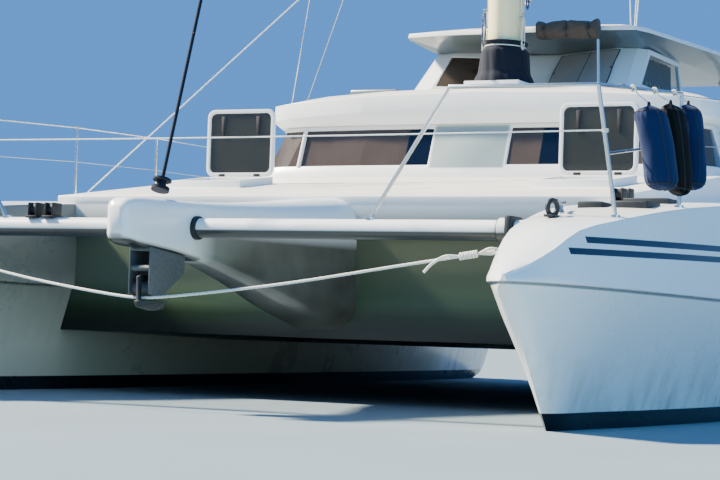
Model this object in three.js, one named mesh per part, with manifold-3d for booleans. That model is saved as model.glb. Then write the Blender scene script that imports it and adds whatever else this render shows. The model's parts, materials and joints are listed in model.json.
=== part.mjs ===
// Cruising sailing catamaran, afloat, built as separate pieces.
// Millimetres. +X is forward, +Y is to port, +Z is up, and the origin is on the
// waterline, on the centreline, 6.2 m aft of the tips of the bows.
import * as THREE from "three";
import { mergeVertices } from "three/addons/utils/BufferGeometryUtils.js";
import Module from "manifold-3d";

const wasm = await Module();
wasm.setup();

// Driving dimensions
const GAP = 0.3; // left between two pieces that touch
const BOW_X = 6200; // tips of the bows
const HULL_LENGTH = 12400;
const STERN_X = BOW_X - HULL_LENGTH;
const HULL_Y = 2780; // each hull's own centreline
const FRONT_WALL_X = 3100; // forward face of the bridge deck
const AFT_BEAM_X = -4900; // aft end of the bridge deck
const TUNNEL_Z = 490; // underside of the bridge deck
const FOREDECK_FRONT_Z = 1580;
const FOREDECK_BACK_Z = 1940;
const CABIN_FRONT_X = 250; // foot of the saloon's front wall
const CABIN_BACK_X = -2000;
const CABIN_HALF_WIDTH = 2230;
const CABIN_RAKE = 190; // how far the wall's head lies inside its foot
const CABIN_TOP_Z = 2440;
const SALOON_SOLE_Z = 700;
const COCKPIT_SOLE_Z = 1150;
const SIDE_DECK_Z = 1650;
const BEAM_X = 5150; // forward crossbeam
const BEAM_Z = 1218;
const BEAM_RADIUS = 66;
const MAST_X = -600;
const MAST_FOOT_Z = 2880;
const MAST_TOP_Z = 18800;
const MAST_CHORD = 440;
const MAST_WIDTH = 320;
const BOOM_Z = 4560;
const BOOM_LENGTH = 4700;
const STAY_FOOT = new THREE.Vector3(5420, 0, 1450);
const KEEL_SOLE_Z = -1100;
const SHAFT_Z = -760;
const RUDDER_X = -5150;

// Colours and finishes
const finish = (color, roughness, metalness = 0) => ({ color, roughness, metalness });
const WHITE_GEL = finish(0xe9ebe6, 0.28);
const DARK_GLASS = finish(0x20262b, 0.08);
const STAINLESS = finish(0xb8bcc0, 0.25, 1);
const CREAM_SPAR = finish(0xd9cda8, 0.4);
const NAVY_CANVAS = finish(0x1c2740, 0.85);
const TAUPE_CANVAS = finish(0x77716b, 0.85);
const DARK_PAINT = finish(0x14202e, 0.7);
const BLACK_RUBBER = finish(0x1b1c1e, 0.7);
const BLUE_RUBBER = finish(0x1f4f86, 0.5);
const GALVANISED = finish(0x8b8f91, 0.55, 0.8);
const BRONZE = finish(0x9c7b3f, 0.35, 1);
const NET_GREY = finish(0xb9bcbb, 0.9);

// Helpers for shapes
const place = (geometry, x, y, z) => geometry.translate(x, y, z);

const box = (x0, x1, y0, y1, z0, z1) =>
  place(
    new THREE.BoxGeometry(x1 - x0, y1 - y0, z1 - z0),
    (x0 + x1) / 2,
    (y0 + y1) / 2,
    (z0 + z1) / 2,
  );

function solid(geometry) {
  const bare = geometry.clone();
  bare.deleteAttribute("normal");
  bare.deleteAttribute("uv");
  const merged = mergeVertices(bare, 1e-3);
  return new wasm.Manifold(
    new wasm.Mesh({
      numProp: 3,
      vertProperties: merged.attributes.position.array,
      triVerts: new Uint32Array(merged.index.array),
    }),
  );
}

function surface(body) {
  const mesh = body.getMesh();
  return new THREE.BufferGeometry()
    .setAttribute("position", new THREE.BufferAttribute(mesh.vertProperties, 3))
    .setIndex(new THREE.BufferAttribute(mesh.triVerts, 1));
}

const join = (...shapes) =>
  shapes.map((s) => (s.isBufferGeometry ? solid(s) : s)).reduce((a, b) => a.add(b));

const cut = (shape, ...tools) =>
  tools.reduce(
    (a, b) => a.subtract(b.isBufferGeometry ? solid(b) : b),
    shape.isBufferGeometry ? solid(shape) : shape,
  );

// A closed skin through sections that all have the same number of points.
function loft(sections) {
  const count = sections[0].length;
  const positions = [];
  const index = [];
  const middles = [];
  for (const section of sections) {
    section.forEach((p) => positions.push(p.x, p.y, p.z));
  }
  for (const section of [sections[0], sections[sections.length - 1]]) {
    const middle = new THREE.Vector3();
    section.forEach((p) => middle.addScaledVector(p, 1 / count));
    middles.push(positions.length / 3);
    positions.push(middle.x, middle.y, middle.z);
  }
  for (let i = 0; i < sections.length - 1; i += 1) {
    for (let j = 0; j < count; j += 1) {
      const a = i * count + j;
      const b = i * count + ((j + 1) % count);
      index.push(a, b, a + count, b, b + count, a + count);
    }
  }
  const last = (sections.length - 1) * count;
  for (let j = 0; j < count; j += 1) {
    const next = (j + 1) % count;
    index.push(middles[0], next, j);
    index.push(middles[1], last + j, last + next);
  }
  const geometry = new THREE.BufferGeometry()
    .setAttribute("position", new THREE.Float32BufferAttribute(positions, 3))
    .setIndex(index);
  const body = solid(geometry);
  if (body.volume() >= 0) return geometry;
  for (let i = 0; i < index.length; i += 3) {
    [index[i + 1], index[i + 2]] = [index[i + 2], index[i + 1]];
  }
  return geometry.setIndex(index);
}

// A round bar between two points.
function bar(from, to, radius, sides = 8, endRadius = radius) {
  const a = new THREE.Vector3(...from);
  const b = new THREE.Vector3(...to);
  const geometry = new THREE.CylinderGeometry(endRadius, radius, a.distanceTo(b), sides);
  geometry.applyQuaternion(
    new THREE.Quaternion().setFromUnitVectors(
      new THREE.Vector3(0, 1, 0),
      b.clone().sub(a).normalize(),
    ),
  );
  const middle = a.add(b).multiplyScalar(0.5);
  return place(geometry, middle.x, middle.y, middle.z);
}

// Bent tube: bars with a ball at each bend.
function rail(points, radius, sides = 8) {
  const parts = points.slice(1).map((p, i) => bar(points[i], p, radius, sides));
  points.slice(1, -1).forEach((p) => {
    parts.push(place(new THREE.SphereGeometry(radius, sides, 4), ...p));
  });
  return join(...parts);
}

// A flat outline in X and Y, from one height to another.
function slab(outline, z0, z1) {
  const shape = new THREE.Shape(outline.map(([x, y]) => new THREE.Vector2(x, y)));
  const geometry = new THREE.ExtrudeGeometry(shape, {
    depth: z1 - z0,
    bevelEnabled: false,
  });
  return place(geometry, 0, 0, z0);
}

// A flat outline in X and Z, from one Y to another.
function sidePlate(outline, y0, y1) {
  const shape = new THREE.Shape(outline.map(([x, z]) => new THREE.Vector2(x, z)));
  const geometry = new THREE.ExtrudeGeometry(shape, {
    depth: y1 - y0,
    bevelEnabled: false,
  });
  geometry.rotateX(Math.PI / 2);
  return place(geometry, 0, y1, 0);
}

// Smooth reading of a table whose first column is the position, with no overshoot.
function row(table, s) {
  let i = 1;
  while (i < table.length - 1 && table[i][0] < s) i += 1;
  const a = table[i - 1];
  const b = table[i];
  const p0 = table[Math.max(i - 2, 0)];
  const p3 = table[Math.min(i + 1, table.length - 1)];
  const span = b[0] - a[0];
  const t = Math.min(Math.max((s - a[0]) / span, 0), 1);
  return a.map((value, k) => {
    const slope = (b[k] - a[k]) / span;
    const into = (a[k] - p0[k]) / (a[0] - p0[0] || 1);
    const out = (p3[k] - b[k]) / (p3[0] - b[0] || 1);
    const m0 = into * slope > 0 ? (2 * into * slope) / (into + slope) : 0;
    const m1 = out * slope > 0 ? (2 * out * slope) / (out + slope) : 0;
    const startSlope = i === 1 ? slope : m0;
    const endSlope = i === table.length - 1 ? slope : m1;
    const t2 = t * t;
    const t3 = t2 * t;
    return (
      (2 * t3 - 3 * t2 + 1) * value +
      (t3 - 2 * t2 + t) * startSlope * span +
      (-2 * t3 + 3 * t2) * b[k] +
      (t3 - t2) * endSlope * span
    );
  });
}

const group = new THREE.Group();
function add(name, shape, look) {
  const geometry = shape.isBufferGeometry ? shape : surface(shape);
  const mesh = new THREE.Mesh(geometry, new THREE.MeshStandardMaterial(look));
  mesh.name = name;
  group.add(mesh);
}

const SIDES = [
  ["port", 1],
  ["starboard", -1],
];

// Hulls
// Sections along a hull. s is the distance aft of the bow's tip. Half-breadths are h,
// heights are z: keel line, turn of the bilge, waterline, chine, deck edge, deck middle.
const HULL_TABLE = [
  // s, zKeel, hBilge, zBilge, hWater, zWater, hChine, hDeck, zDeck, zMiddle
  [0, 868, 8, 872, 14, 878, 20, 12, 912, 918],
  [60, 812, 26, 822, 58, 838, 92, 52, 938, 950],
  [170, 688, 50, 715, 104, 785, 168, 108, 988, 1006],
  [360, 470, 64, 530, 142, 670, 246, 182, 1082, 1110],
  [640, 140, 52, 240, 146, 500, 318, 228, 1202, 1236],
  [1050, -270, 46, -140, 128, 220, 394, 305, 1282, 1302],
  [2000, -480, 150, -330, 220, 60, 498, 462, 1420, 1440],
  [3100, -540, 240, -400, 318, 30, 574, 556, 1512, 1534],
  [4500, -560, 310, -420, 392, 20, 626, 620, 1585, 1611],
  [7000, -560, 350, -420, 432, 20, 650, 648, 1640, 1668],
  [9800, -500, 335, -370, 420, 20, 645, 640, 1650, 1680],
  [11500, -260, 290, -170, 370, 30, 604, 600, 1650, 1676],
  [12400, -20, 230, 20, 310, 100, 548, 544, 1650, 1670],
];
const STATIONS = [
  0, 25, 60, 110, 170, 250, 360, 490, 640, 830, 1050, 1450, 2000, 3100, 4500, 7000, 9800,
  11100, 12400,
];
const CHINE_BOW_Z = 872;
const CHINE_FALL = 0.012; // the chine's drop for each length aft
const CHINE_LOW_Z = 842;
const LEDGE_IN = 22;
const LEDGE_UP = 40;

// Half a section, from the keel line up to the middle of the deck.
function halfSection(s, grow) {
  const [, zKeel, hBilge, zBilge, hWater, zWater, hChine, hDeck, zDeck, zMiddle] = row(
    HULL_TABLE,
    s,
  );
  const zChine = Math.max(CHINE_BOW_Z - CHINE_FALL * s, CHINE_LOW_Z);
  const ledge = Math.min(LEDGE_IN, hChine * 0.25);
  const lower = new THREE.CatmullRomCurve3(
    [
      new THREE.Vector3(0, 0, zKeel),
      new THREE.Vector3(0, hBilge, zBilge),
      new THREE.Vector3(0, hWater, zWater),
      new THREE.Vector3(0, hChine - ledge, zChine),
    ],
    false,
    "centripetal",
  );
  const points = lower.getPoints(6).map((p) => [p.y, p.z]);
  const up = Math.min(LEDGE_UP, (zDeck - zChine) * 0.3);
  points.push([hChine, zChine + up * 0.35]);
  points.push([hChine - 2, zChine + up]);
  points.push([(hChine + hDeck) / 2 + hChine * 0.02, (zChine + up + zDeck) / 2]);
  points.push([hDeck, zDeck - 14]);
  points.push([hDeck - Math.min(40, hDeck * 0.3), zDeck + 8]);
  points.push([0, zMiddle]);
  return points.map(([h, z], i) => {
    const lift = Math.sign(i - 7) * grow;
    return [h === 0 ? 0 : h + grow, z + lift];
  });
}

function hullShape(centreY, grow = 0) {
  const sections = STATIONS.map((s) => {
    const half = halfSection(s, grow);
    const x = BOW_X - s + (s === 0 ? grow : 0) - (s === HULL_LENGTH ? grow : 0);
    const far = half.slice(1, -1).reverse();
    return [
      ...half.map(([h, z]) => new THREE.Vector3(x, centreY + h, z)),
      ...far.map(([h, z]) => new THREE.Vector3(x, centreY - h, z)),
    ];
  });
  return loft(sections);
}

// Steps down to the water at the stern: each cuts aft of x, above z.
const STERN_STEPS = [
  [-5000, 1250],
  [-5400, 850],
  [-5800, 450],
];
const RUDDER_STOCK_RADIUS = 25;
const STOCK_BORE_RADIUS = 25.8;
const STOCK_TOP_Z = 40;
const WIDE = 900; // wider than a hull's half-breadth
const HIGH = 4000; // above everything that a well or a step is cut through
const CHAINPLATES = [
  // x, distance off the boat's centreline
  [-2200, 3270],
  [-1850, 3170],
];
const PLATE = { halfLength: 60, halfThick: 12, z0: 1500, z1: 1740 };
const chainplate = (sign) => ([x, off]) =>
  box(
    x - PLATE.halfLength,
    x + PLATE.halfLength,
    sign * off - PLATE.halfThick,
    sign * off + PLATE.halfThick,
    PLATE.z0,
    PLATE.z1,
  );

for (const [side, sign] of SIDES) {
  const y = sign * HULL_Y;
  const steps = STERN_STEPS.map(([x, z]) =>
    box(STERN_X - 50, x, y - WIDE, y + WIDE, z, HIGH),
  );
  const bore = bar([RUDDER_X, y, -900], [RUDDER_X, y, STOCK_TOP_Z + 20], STOCK_BORE_RADIUS, 24);
  add(
    "hull_" + side,
    join(cut(hullShape(y), bore, ...steps), ...CHAINPLATES.map(chainplate(sign))),
    WHITE_GEL,
  );
}

// Stub keels with flat soles, to stand on when the boat dries out
const KEEL_TOP_Z = -300; // inside the hull, which is then cut away
const KEEL_TAPER = 0.82;
const KEEL_SWEEP = -80;
const KEEL_ROOT = [
  // x, half-thickness
  [1700, 0],
  [1500, 70],
  [900, 130],
  [0, 150],
  [-900, 110],
  [-1500, 12],
];
function foilLoop(points, scale, shift, y, z) {
  const near = points.map(([x, h]) => new THREE.Vector3(x * scale + shift, y + h * scale, z));
  const far = points
    .slice(1)
    .reverse()
    .map(([x, h]) => new THREE.Vector3(x * scale + shift, y - h * scale, z));
  return [...near, ...far];
}
for (const [side, sign] of SIDES) {
  const y = sign * HULL_Y;
  const blade = loft([
    foilLoop(KEEL_ROOT, 1, 0, y, KEEL_TOP_Z),
    foilLoop(KEEL_ROOT, KEEL_TAPER, KEEL_SWEEP, y, KEEL_SOLE_Z),
  ]);
  add("keel_" + side, cut(blade, hullShape(y, GAP)), DARK_PAINT);
}

// Bridge deck: floor, front wall and foredeck between the hulls, with the saloon
// and the cockpit sunk into it
const DECK_EDGE_Y = 2400; // runs into the hulls, which are then cut away
const WELL_INSET = 60; // from the saloon's aft bulkhead to its well
const WELL_HALF_WIDTH = 1930;
const DECK_STEP_Z = SIDE_DECK_Z + 30; // the bridge deck abreast of the cockpit
const COCKPIT_FRONT_X = CABIN_BACK_X;
const COCKPIT_BACK_X = AFT_BEAM_X + 350;
const COCKPIT_HALF_WIDTH = 1750;
const BENCH_Z = 1560;
const BENCH_WIDTH = 520;

const deckProfile = [
  [FRONT_WALL_X, TUNNEL_Z],
  [FRONT_WALL_X, FOREDECK_FRONT_Z],
  [CABIN_FRONT_X + 120, FOREDECK_BACK_Z],
  [CABIN_BACK_X, FOREDECK_BACK_Z],
  [CABIN_BACK_X, DECK_STEP_Z],
  [AFT_BEAM_X, DECK_STEP_Z],
  [AFT_BEAM_X, TUNNEL_Z + 330],
  [AFT_BEAM_X + 900, TUNNEL_Z - 60],
  [FRONT_WALL_X - 2600, TUNNEL_Z - 60],
];
const saloonWell = box(
  CABIN_BACK_X + WELL_INSET,
  CABIN_FRONT_X - 130,
  -WELL_HALF_WIDTH,
  WELL_HALF_WIDTH,
  SALOON_SOLE_Z,
  HIGH,
);
const cockpitWell = box(
  COCKPIT_BACK_X,
  COCKPIT_FRONT_X,
  -COCKPIT_HALF_WIDTH,
  COCKPIT_HALF_WIDTH,
  COCKPIT_SOLE_Z,
  HIGH,
);
const DOOR = { halfWidth: 330, z0: COCKPIT_SOLE_Z + 12, z1: 2350, thick: 28 };
const DOOR_TRAVEL = 660;
const doorTrack = box(
  CABIN_BACK_X - 44,
  CABIN_BACK_X + 10,
  -DOOR.halfWidth - 45,
  DOOR.halfWidth + 50 + DOOR_TRAVEL,
  COCKPIT_SOLE_Z - 20,
  DOOR.z0 - GAP,
);
const PASSAGE_HALF = DOOR.halfWidth + 30;
const passage = box(
  CABIN_BACK_X - 100,
  CABIN_BACK_X + 100,
  -PASSAGE_HALF,
  PASSAGE_HALF,
  COCKPIT_SOLE_Z,
  HIGH,
);
const benches = SIDES.map(([, sign]) =>
  box(
    COCKPIT_BACK_X - 20,
    COCKPIT_FRONT_X - 700,
    Math.min(sign * (COCKPIT_HALF_WIDTH + 20), sign * (COCKPIT_HALF_WIDTH - BENCH_WIDTH)),
    Math.max(sign * (COCKPIT_HALF_WIDTH + 20), sign * (COCKPIT_HALF_WIDTH - BENCH_WIDTH)),
    COCKPIT_SOLE_Z - 20,
    BENCH_Z,
  ),
);
const SLOPE =
  (FOREDECK_BACK_Z - FOREDECK_FRONT_Z) / (FRONT_WALL_X - CABIN_FRONT_X - 120);
const foredeckZ = (x) => FOREDECK_FRONT_Z + (FRONT_WALL_X - x) * SLOPE;
const HATCH = {
  hingeX: 1430,
  length: 580,
  y: 1650,
  half: 335,
  coaming: 62,
  wall: 45,
  trunkZ: 1100, // sole of the trunk
};
const hatchCoaming = (sign) =>
  sidePlate(
    [
      [HATCH.hingeX + HATCH.length, foredeckZ(HATCH.hingeX + HATCH.length) - 60],
      [
        HATCH.hingeX + HATCH.length,
        foredeckZ(HATCH.hingeX + HATCH.length) + HATCH.coaming,
      ],
      [HATCH.hingeX, foredeckZ(HATCH.hingeX) + HATCH.coaming],
      [HATCH.hingeX, foredeckZ(HATCH.hingeX) - 60],
    ],
    sign * HATCH.y - HATCH.half,
    sign * HATCH.y + HATCH.half,
  );
const hatchTrunk = (sign) =>
  box(
    HATCH.hingeX + HATCH.wall,
    HATCH.hingeX + HATCH.length - HATCH.wall,
    sign * HATCH.y - HATCH.half + HATCH.wall,
    sign * HATCH.y + HATCH.half - HATCH.wall,
    HATCH.trunkZ,
    HIGH,
  );
const bridgeDeck = cut(
  join(
    cut(sidePlate(deckProfile, -DECK_EDGE_Y, DECK_EDGE_Y), saloonWell, cockpitWell, passage),
    doorTrack,
    hatchCoaming(1),
    hatchCoaming(-1),
    ...benches,
  ),
  hatchTrunk(1),
  hatchTrunk(-1),
  hullShape(HULL_Y, GAP),
  hullShape(-HULL_Y, GAP),
);
add("bridge_deck", bridgeDeck, WHITE_GEL);

// Nacelle: the pod that carries the forestay and the anchor, forward of the front wall.
// s is the distance forward of the front wall.
const NACELLE_TABLE = [
  // s, halfWidth, zBottom, zTop
  [0, 330, 560, 1560],
  [600, 270, 690, 1500],
  [1300, 190, 870, 1440],
  [2000, 130, 1010, 1400],
  [2560, 114, 1060, 1388],
  [2720, 106, 1068, 1382],
  [2810, 84, 1092, 1362],
  [2850, 42, 1150, 1310],
];
function nacelleSection([s, half, bottom, top], gap) {
  const x = FRONT_WALL_X + GAP + s;
  const side = half + gap;
  const round = Math.min(half * 0.62, (top - bottom) * 0.36);
  const ring = [];
  const corners = [
    [side - round, bottom + round, -90],
    [side - round, top - round, 0],
    [-side + round, top - round, 90],
    [-side + round, bottom + round, 180],
  ];
  for (const [cy, cz, start] of corners) {
    for (let k = 0; k < 4; k += 1) {
      const a = ((start + k * 30) * Math.PI) / 180;
      ring.push(new THREE.Vector3(x, cy + round * Math.cos(a), cz + round * Math.sin(a)));
    }
  }
  return ring;
}
const nacelleShape = (gap = 0) =>
  loft(NACELLE_TABLE.map((section) => nacelleSection(section, gap)));
// The nacelle, let out by the gap below as well as at its sides.
const nacelleLower = () =>
  loft(
    NACELLE_TABLE.map(([s, half, bottom, top]) =>
      nacelleSection([s, half, bottom - GAP, top], GAP),
    ),
  );
const stayBlock = box(
  STAY_FOOT.x - 45,
  STAY_FOOT.x + 45,
  -30,
  30,
  1340,
  STAY_FOOT.z - 42,
);
const windlass = join(
  bar([4300, -90, 1480], [4300, 90, 1480], 62, 12),
  box(4220, 4380, -70, 70, 1380, 1470),
);
const stayHead = new THREE.Vector3(MAST_X + 290, 0, MAST_TOP_Z - 60);
const stayDir = stayHead.clone().sub(STAY_FOOT).normalize();
const along = (distance) => STAY_FOOT.clone().addScaledVector(stayDir, distance).toArray();
const toggle = bar(along(-90), along(-GAP), 16, 10);
add("nacelle", join(nacelleShape(), stayBlock, toggle, windlass), WHITE_GEL);

// Forward crossbeam, one tube on each side of the nacelle, with a bracket at each hull
for (const [side, sign] of SIDES) {
  const tube = bar([BEAM_X, sign * 20, BEAM_Z], [BEAM_X, sign * 2600, BEAM_Z], BEAM_RADIUS, 20);
  const bracket = bar(
    [BEAM_X, sign * 2330, BEAM_Z],
    [BEAM_X, sign * 2385, BEAM_Z],
    BEAM_RADIUS + 14,
    20,
  );
  add(
    "crossbeam_" + side,
    cut(join(tube, bracket), nacelleShape(GAP), hullShape(sign * HULL_Y, GAP)),
    WHITE_GEL,
  );
}

// Bow roller under the nose, and the anchor that is stowed on it
const ROLLER = { x: 5560, z: 800, radius: 45, cheek: 8, halfGap: 72, frontX: 5640, backX: 5200 };
const ROLLER_HEAD_Z = 1051; // the cheeks' upper edge
const rollerCheek = (sign) =>
  sidePlate(
    [
      [ROLLER.frontX, ROLLER_HEAD_Z],
      [ROLLER.frontX, ROLLER.z - 40],
      [ROLLER.x - 60, ROLLER.z - 65],
      [ROLLER.backX, ROLLER.z + 110],
      [ROLLER.backX, ROLLER_HEAD_Z],
    ],
    sign > 0 ? ROLLER.halfGap : -ROLLER.halfGap - ROLLER.cheek,
    sign > 0 ? ROLLER.halfGap + ROLLER.cheek : -ROLLER.halfGap,
  );
const acrossRoller = (x, z, radius) =>
  bar([x, -ROLLER.halfGap - 4, z], [x, ROLLER.halfGap + 4, z], radius, 12);
const bowRoller = cut(
  join(
    rollerCheek(1),
    rollerCheek(-1),
    box(
      ROLLER.backX,
      ROLLER.frontX,
      -ROLLER.halfGap - ROLLER.cheek,
      ROLLER.halfGap + ROLLER.cheek,
      ROLLER_HEAD_Z - 10,
      ROLLER_HEAD_Z + 60,
    ),
    acrossRoller(ROLLER.x, ROLLER.z, ROLLER.radius),
    acrossRoller(ROLLER.x + 50, ROLLER.z + 130, 22),
  ),
  nacelleLower(),
);
add("bow_roller", bowRoller, STAINLESS);

const SHANK = { z: ROLLER.z + ROLLER.radius + GAP, deep: 38, backX: 5250, frontX: 5650 };
const FLUKE_TOP_Z = 715;
const anchorShank = sidePlate(
  [
    [SHANK.backX, SHANK.z],
    [SHANK.frontX - 36, SHANK.z],
    [SHANK.frontX - 30, FLUKE_TOP_Z - 20],
    [SHANK.frontX, FLUKE_TOP_Z - 20],
    [SHANK.frontX + 10, SHANK.z + SHANK.deep - 12],
    [SHANK.frontX - 20, SHANK.z + SHANK.deep],
    [SHANK.backX, SHANK.z + SHANK.deep],
  ],
  -10,
  10,
);
const flukeEdge = (x, half, z, thick) => [
  new THREE.Vector3(x, -half, z),
  new THREE.Vector3(x, half, z),
  new THREE.Vector3(x, half * 0.3, z - thick),
  new THREE.Vector3(x, -half * 0.3, z - thick),
];
const fluke = loft([
  flukeEdge(SHANK.frontX + 12, 22, FLUKE_TOP_Z, 40),
  flukeEdge(SHANK.frontX - 170, 112, FLUKE_TOP_Z, 62),
  flukeEdge(SHANK.frontX - 330, 14, FLUKE_TOP_Z - 20, 30),
]);
add("anchor", join(anchorShank, fluke), GALVANISED);

// Trampolines, one net on each side of the nacelle
const NET_THICK = 14;
const NET_FRONT_X = BEAM_X - 95;
const NET_Z = 1280;
for (const [side, sign] of SIDES) {
  const edge = 2600;
  const y0 = sign > 0 ? 60 : -edge;
  const y1 = sign > 0 ? edge : -60;
  const net = box(FRONT_WALL_X + GAP, NET_FRONT_X, y0, y1, NET_Z - NET_THICK, NET_Z);
  add(
    "trampoline_" + side,
    cut(net, nacelleShape(GAP), hullShape(sign * HULL_Y, GAP)),
    NET_GREY,
  );
}

// Saloon walls: a raked front, two sides and the aft bulkhead, cut for the windows
const WALL = 55;
const cabinOutline = (inset, rake) => {
  const half = CABIN_HALF_WIDTH - inset - rake * 0.8;
  const front = CABIN_FRONT_X - inset - rake;
  const back = CABIN_BACK_X + inset;
  return [
    [front + 60, 0],
    [front + 45, half * 0.5],
    [front - 20, half - 330],
    [front - 110, half - 90],
    [front - 330, half],
    [back, half],
    [back, half * 0.5],
    [back, 0],
    [back, -half * 0.5],
    [back, -half],
    [front - 330, -half],
    [front - 110, -half + 90],
    [front - 20, -half + 330],
    [front + 45, -half * 0.5],
  ];
};
const ringAt = (outline, z) => outline.map(([x, y]) => new THREE.Vector3(x, y, z));
const CABIN_FOOT_Z = FOREDECK_BACK_Z + GAP;
const cabinOuter = loft([
  ringAt(cabinOutline(0, 0), CABIN_FOOT_Z),
  ringAt(cabinOutline(0, CABIN_RAKE), CABIN_TOP_Z),
]);
const cabinInner = loft([
  ringAt(cabinOutline(WALL, -10), CABIN_FOOT_Z - 30),
  ringAt(cabinOutline(WALL, CABIN_RAKE + 10), CABIN_TOP_Z + 30),
]);
const WINDOW_Z0 = 2060;
const WINDOW_Z1 = 2400;
// Each window as x0, x1, inner y and outer y: the front ones run round the corners.
const FRONT_WINDOW = [CABIN_FRONT_X - 600, CABIN_FRONT_X + 400, 380, 2500];
const SIDE_WINDOW = [CABIN_FRONT_X - 2080, CABIN_FRONT_X - 760, 1800, 2500];
const windowBox = ([x0, x1, inner, outer], sign, gap) =>
  box(
    x0 + gap,
    x1 - gap,
    Math.min(sign * inner, sign * outer) + gap,
    Math.max(sign * inner, sign * outer) - gap,
    WINDOW_Z0 + gap,
    WINDOW_Z1 - gap,
  );
const saloonDoorway = box(
  CABIN_BACK_X - 50,
  CABIN_BACK_X + 200,
  -DOOR.halfWidth,
  DOOR.halfWidth,
  1700,
  DOOR.z1,
);
const cabinShell = cut(
  cabinOuter,
  cabinInner,
  windowBox(FRONT_WINDOW, 1, 0),
  windowBox(FRONT_WINDOW, -1, 0),
  windowBox(SIDE_WINDOW, 1, 0),
  windowBox(SIDE_WINDOW, -1, 0),
  saloonDoorway,
);
add("saloon_walls", cabinShell, WHITE_GEL);

// Glass for the saloon: each pane is a slice of the wall's own thickness
const GLASS_INSET = 18;
const glassOuter = loft([
  ringAt(cabinOutline(GLASS_INSET, 0), CABIN_FOOT_Z),
  ringAt(cabinOutline(GLASS_INSET, CABIN_RAKE), CABIN_TOP_Z),
]);
const glassInner = loft([
  ringAt(cabinOutline(GLASS_INSET + 12, 0), CABIN_FOOT_Z - 30),
  ringAt(cabinOutline(GLASS_INSET + 12, CABIN_RAKE), CABIN_TOP_Z + 30),
]);
const glassShell = cut(glassOuter, glassInner);
for (const [side, sign] of SIDES) {
  add(
    "saloon_glass_front_" + side,
    glassShell.intersect(solid(windowBox(FRONT_WINDOW, sign, GAP))),
    DARK_GLASS,
  );
  add(
    "saloon_glass_side_" + side,
    glassShell.intersect(solid(windowBox(SIDE_WINDOW, sign, GAP))),
    DARK_GLASS,
  );
}

// Saloon roof, with a brow proud of the walls and a step for the mast
const ROOF_THICK = 190;
const ROOF_CAMBER = 90;
const roofBase = (out, z) => ringAt(cabinOutline(-out, CABIN_RAKE), z);
const roofRing = (out, z) =>
  cabinOutline(-out, CABIN_RAKE).map(([x, y]) => {
    const across = Math.min(Math.abs(y) / CABIN_HALF_WIDTH, 1);
    return new THREE.Vector3(x, y, z + ROOF_CAMBER * (1 - across * across));
  });
const saloonRoof = loft([
  roofBase(40, CABIN_TOP_Z + GAP),
  roofRing(90, CABIN_TOP_Z + 45),
  roofRing(80, CABIN_TOP_Z + ROOF_THICK),
  roofRing(-160, CABIN_TOP_Z + ROOF_THICK + 70),
]);
const mastStep = box(
  MAST_X - 330,
  MAST_X + 330,
  -270,
  270,
  CABIN_TOP_Z + 60,
  MAST_FOOT_Z,
);
add("saloon_roof", join(saloonRoof, mastStep), WHITE_GEL);

// Sliding door in the aft bulkhead, hung on the cockpit side
const doorX = CABIN_BACK_X - 8;
const saloonDoor = join(
  box(doorX - DOOR.thick, doorX, -DOOR.halfWidth - 40, DOOR.halfWidth + 40, DOOR.z0, DOOR.z1 + 40),
  box(doorX - DOOR.thick - 30, doorX - 5, DOOR.halfWidth - 40, DOOR.halfWidth - 15, 1650, 1850),
);
add("saloon_door", saloonDoor, DARK_GLASS);

// Doghouse over the cockpit: raked pillars and side frames, a hard top and its glass.
// Its windscreen folds back round the mast.
const DOG = {
  frontX: -640,
  fold: 330,
  backX: -2600,
  half: 1180,
  z0: 2660,
  z1: 3300,
  rake: 700,
  lean: 80,
};
const ROOF_TOP_Z = CABIN_TOP_Z + ROOF_THICK + 70;
const dogOutline = (inset, up) => {
  const half = DOG.half - inset - DOG.lean * up;
  const front = DOG.frontX - inset - DOG.rake * up;
  return [
    [front - DOG.fold, 160],
    [front, half - 270],
    [front - 60, half - 80],
    [front - 180, half],
    [DOG.backX + inset, half],
    [DOG.backX + inset, -half],
    [front - 180, -half],
    [front - 60, -half + 80],
    [front, -half + 270],
    [front - DOG.fold, -160],
  ];
};
const dogOuter = loft([ringAt(dogOutline(0, 0), DOG.z0), ringAt(dogOutline(0, 1), DOG.z1)]);
const dogInner = loft([
  ringAt(dogOutline(45, -0.05), DOG.z0 - 32),
  ringAt(dogOutline(45, 1.05), DOG.z1 + 32),
]);
const PANE_Z0 = DOG.z0 + 265;
const PANE_Z1 = DOG.z1 - 50;
const screenBox = (sign, gap) =>
  box(
    DOG.frontX - 1100,
    DOG.frontX + 200,
    Math.min(sign * 200, sign * 850) + gap,
    Math.max(sign * 200, sign * 850) - gap,
    PANE_Z0 + gap,
    PANE_Z1 - gap,
  );
// The side windows' forward edges rake with the pillars.
const dogSideBox = (sign, gap) =>
  sidePlate(
    [
      [-2450 + gap, PANE_Z0 + gap],
      [-1180 - 2 * gap, PANE_Z0 + gap],
      [-1535 - 2 * gap, PANE_Z1 - gap],
      [-2450 + gap, PANE_Z1 - gap],
    ],
    Math.min(sign * 800, sign * 1400),
    Math.max(sign * 800, sign * 1400),
  );
const dogBack = box(DOG.backX - 100, DOG.backX + 120, -1400, 1400, DOG.z0 - 100, DOG.z1 + 60);
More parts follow.
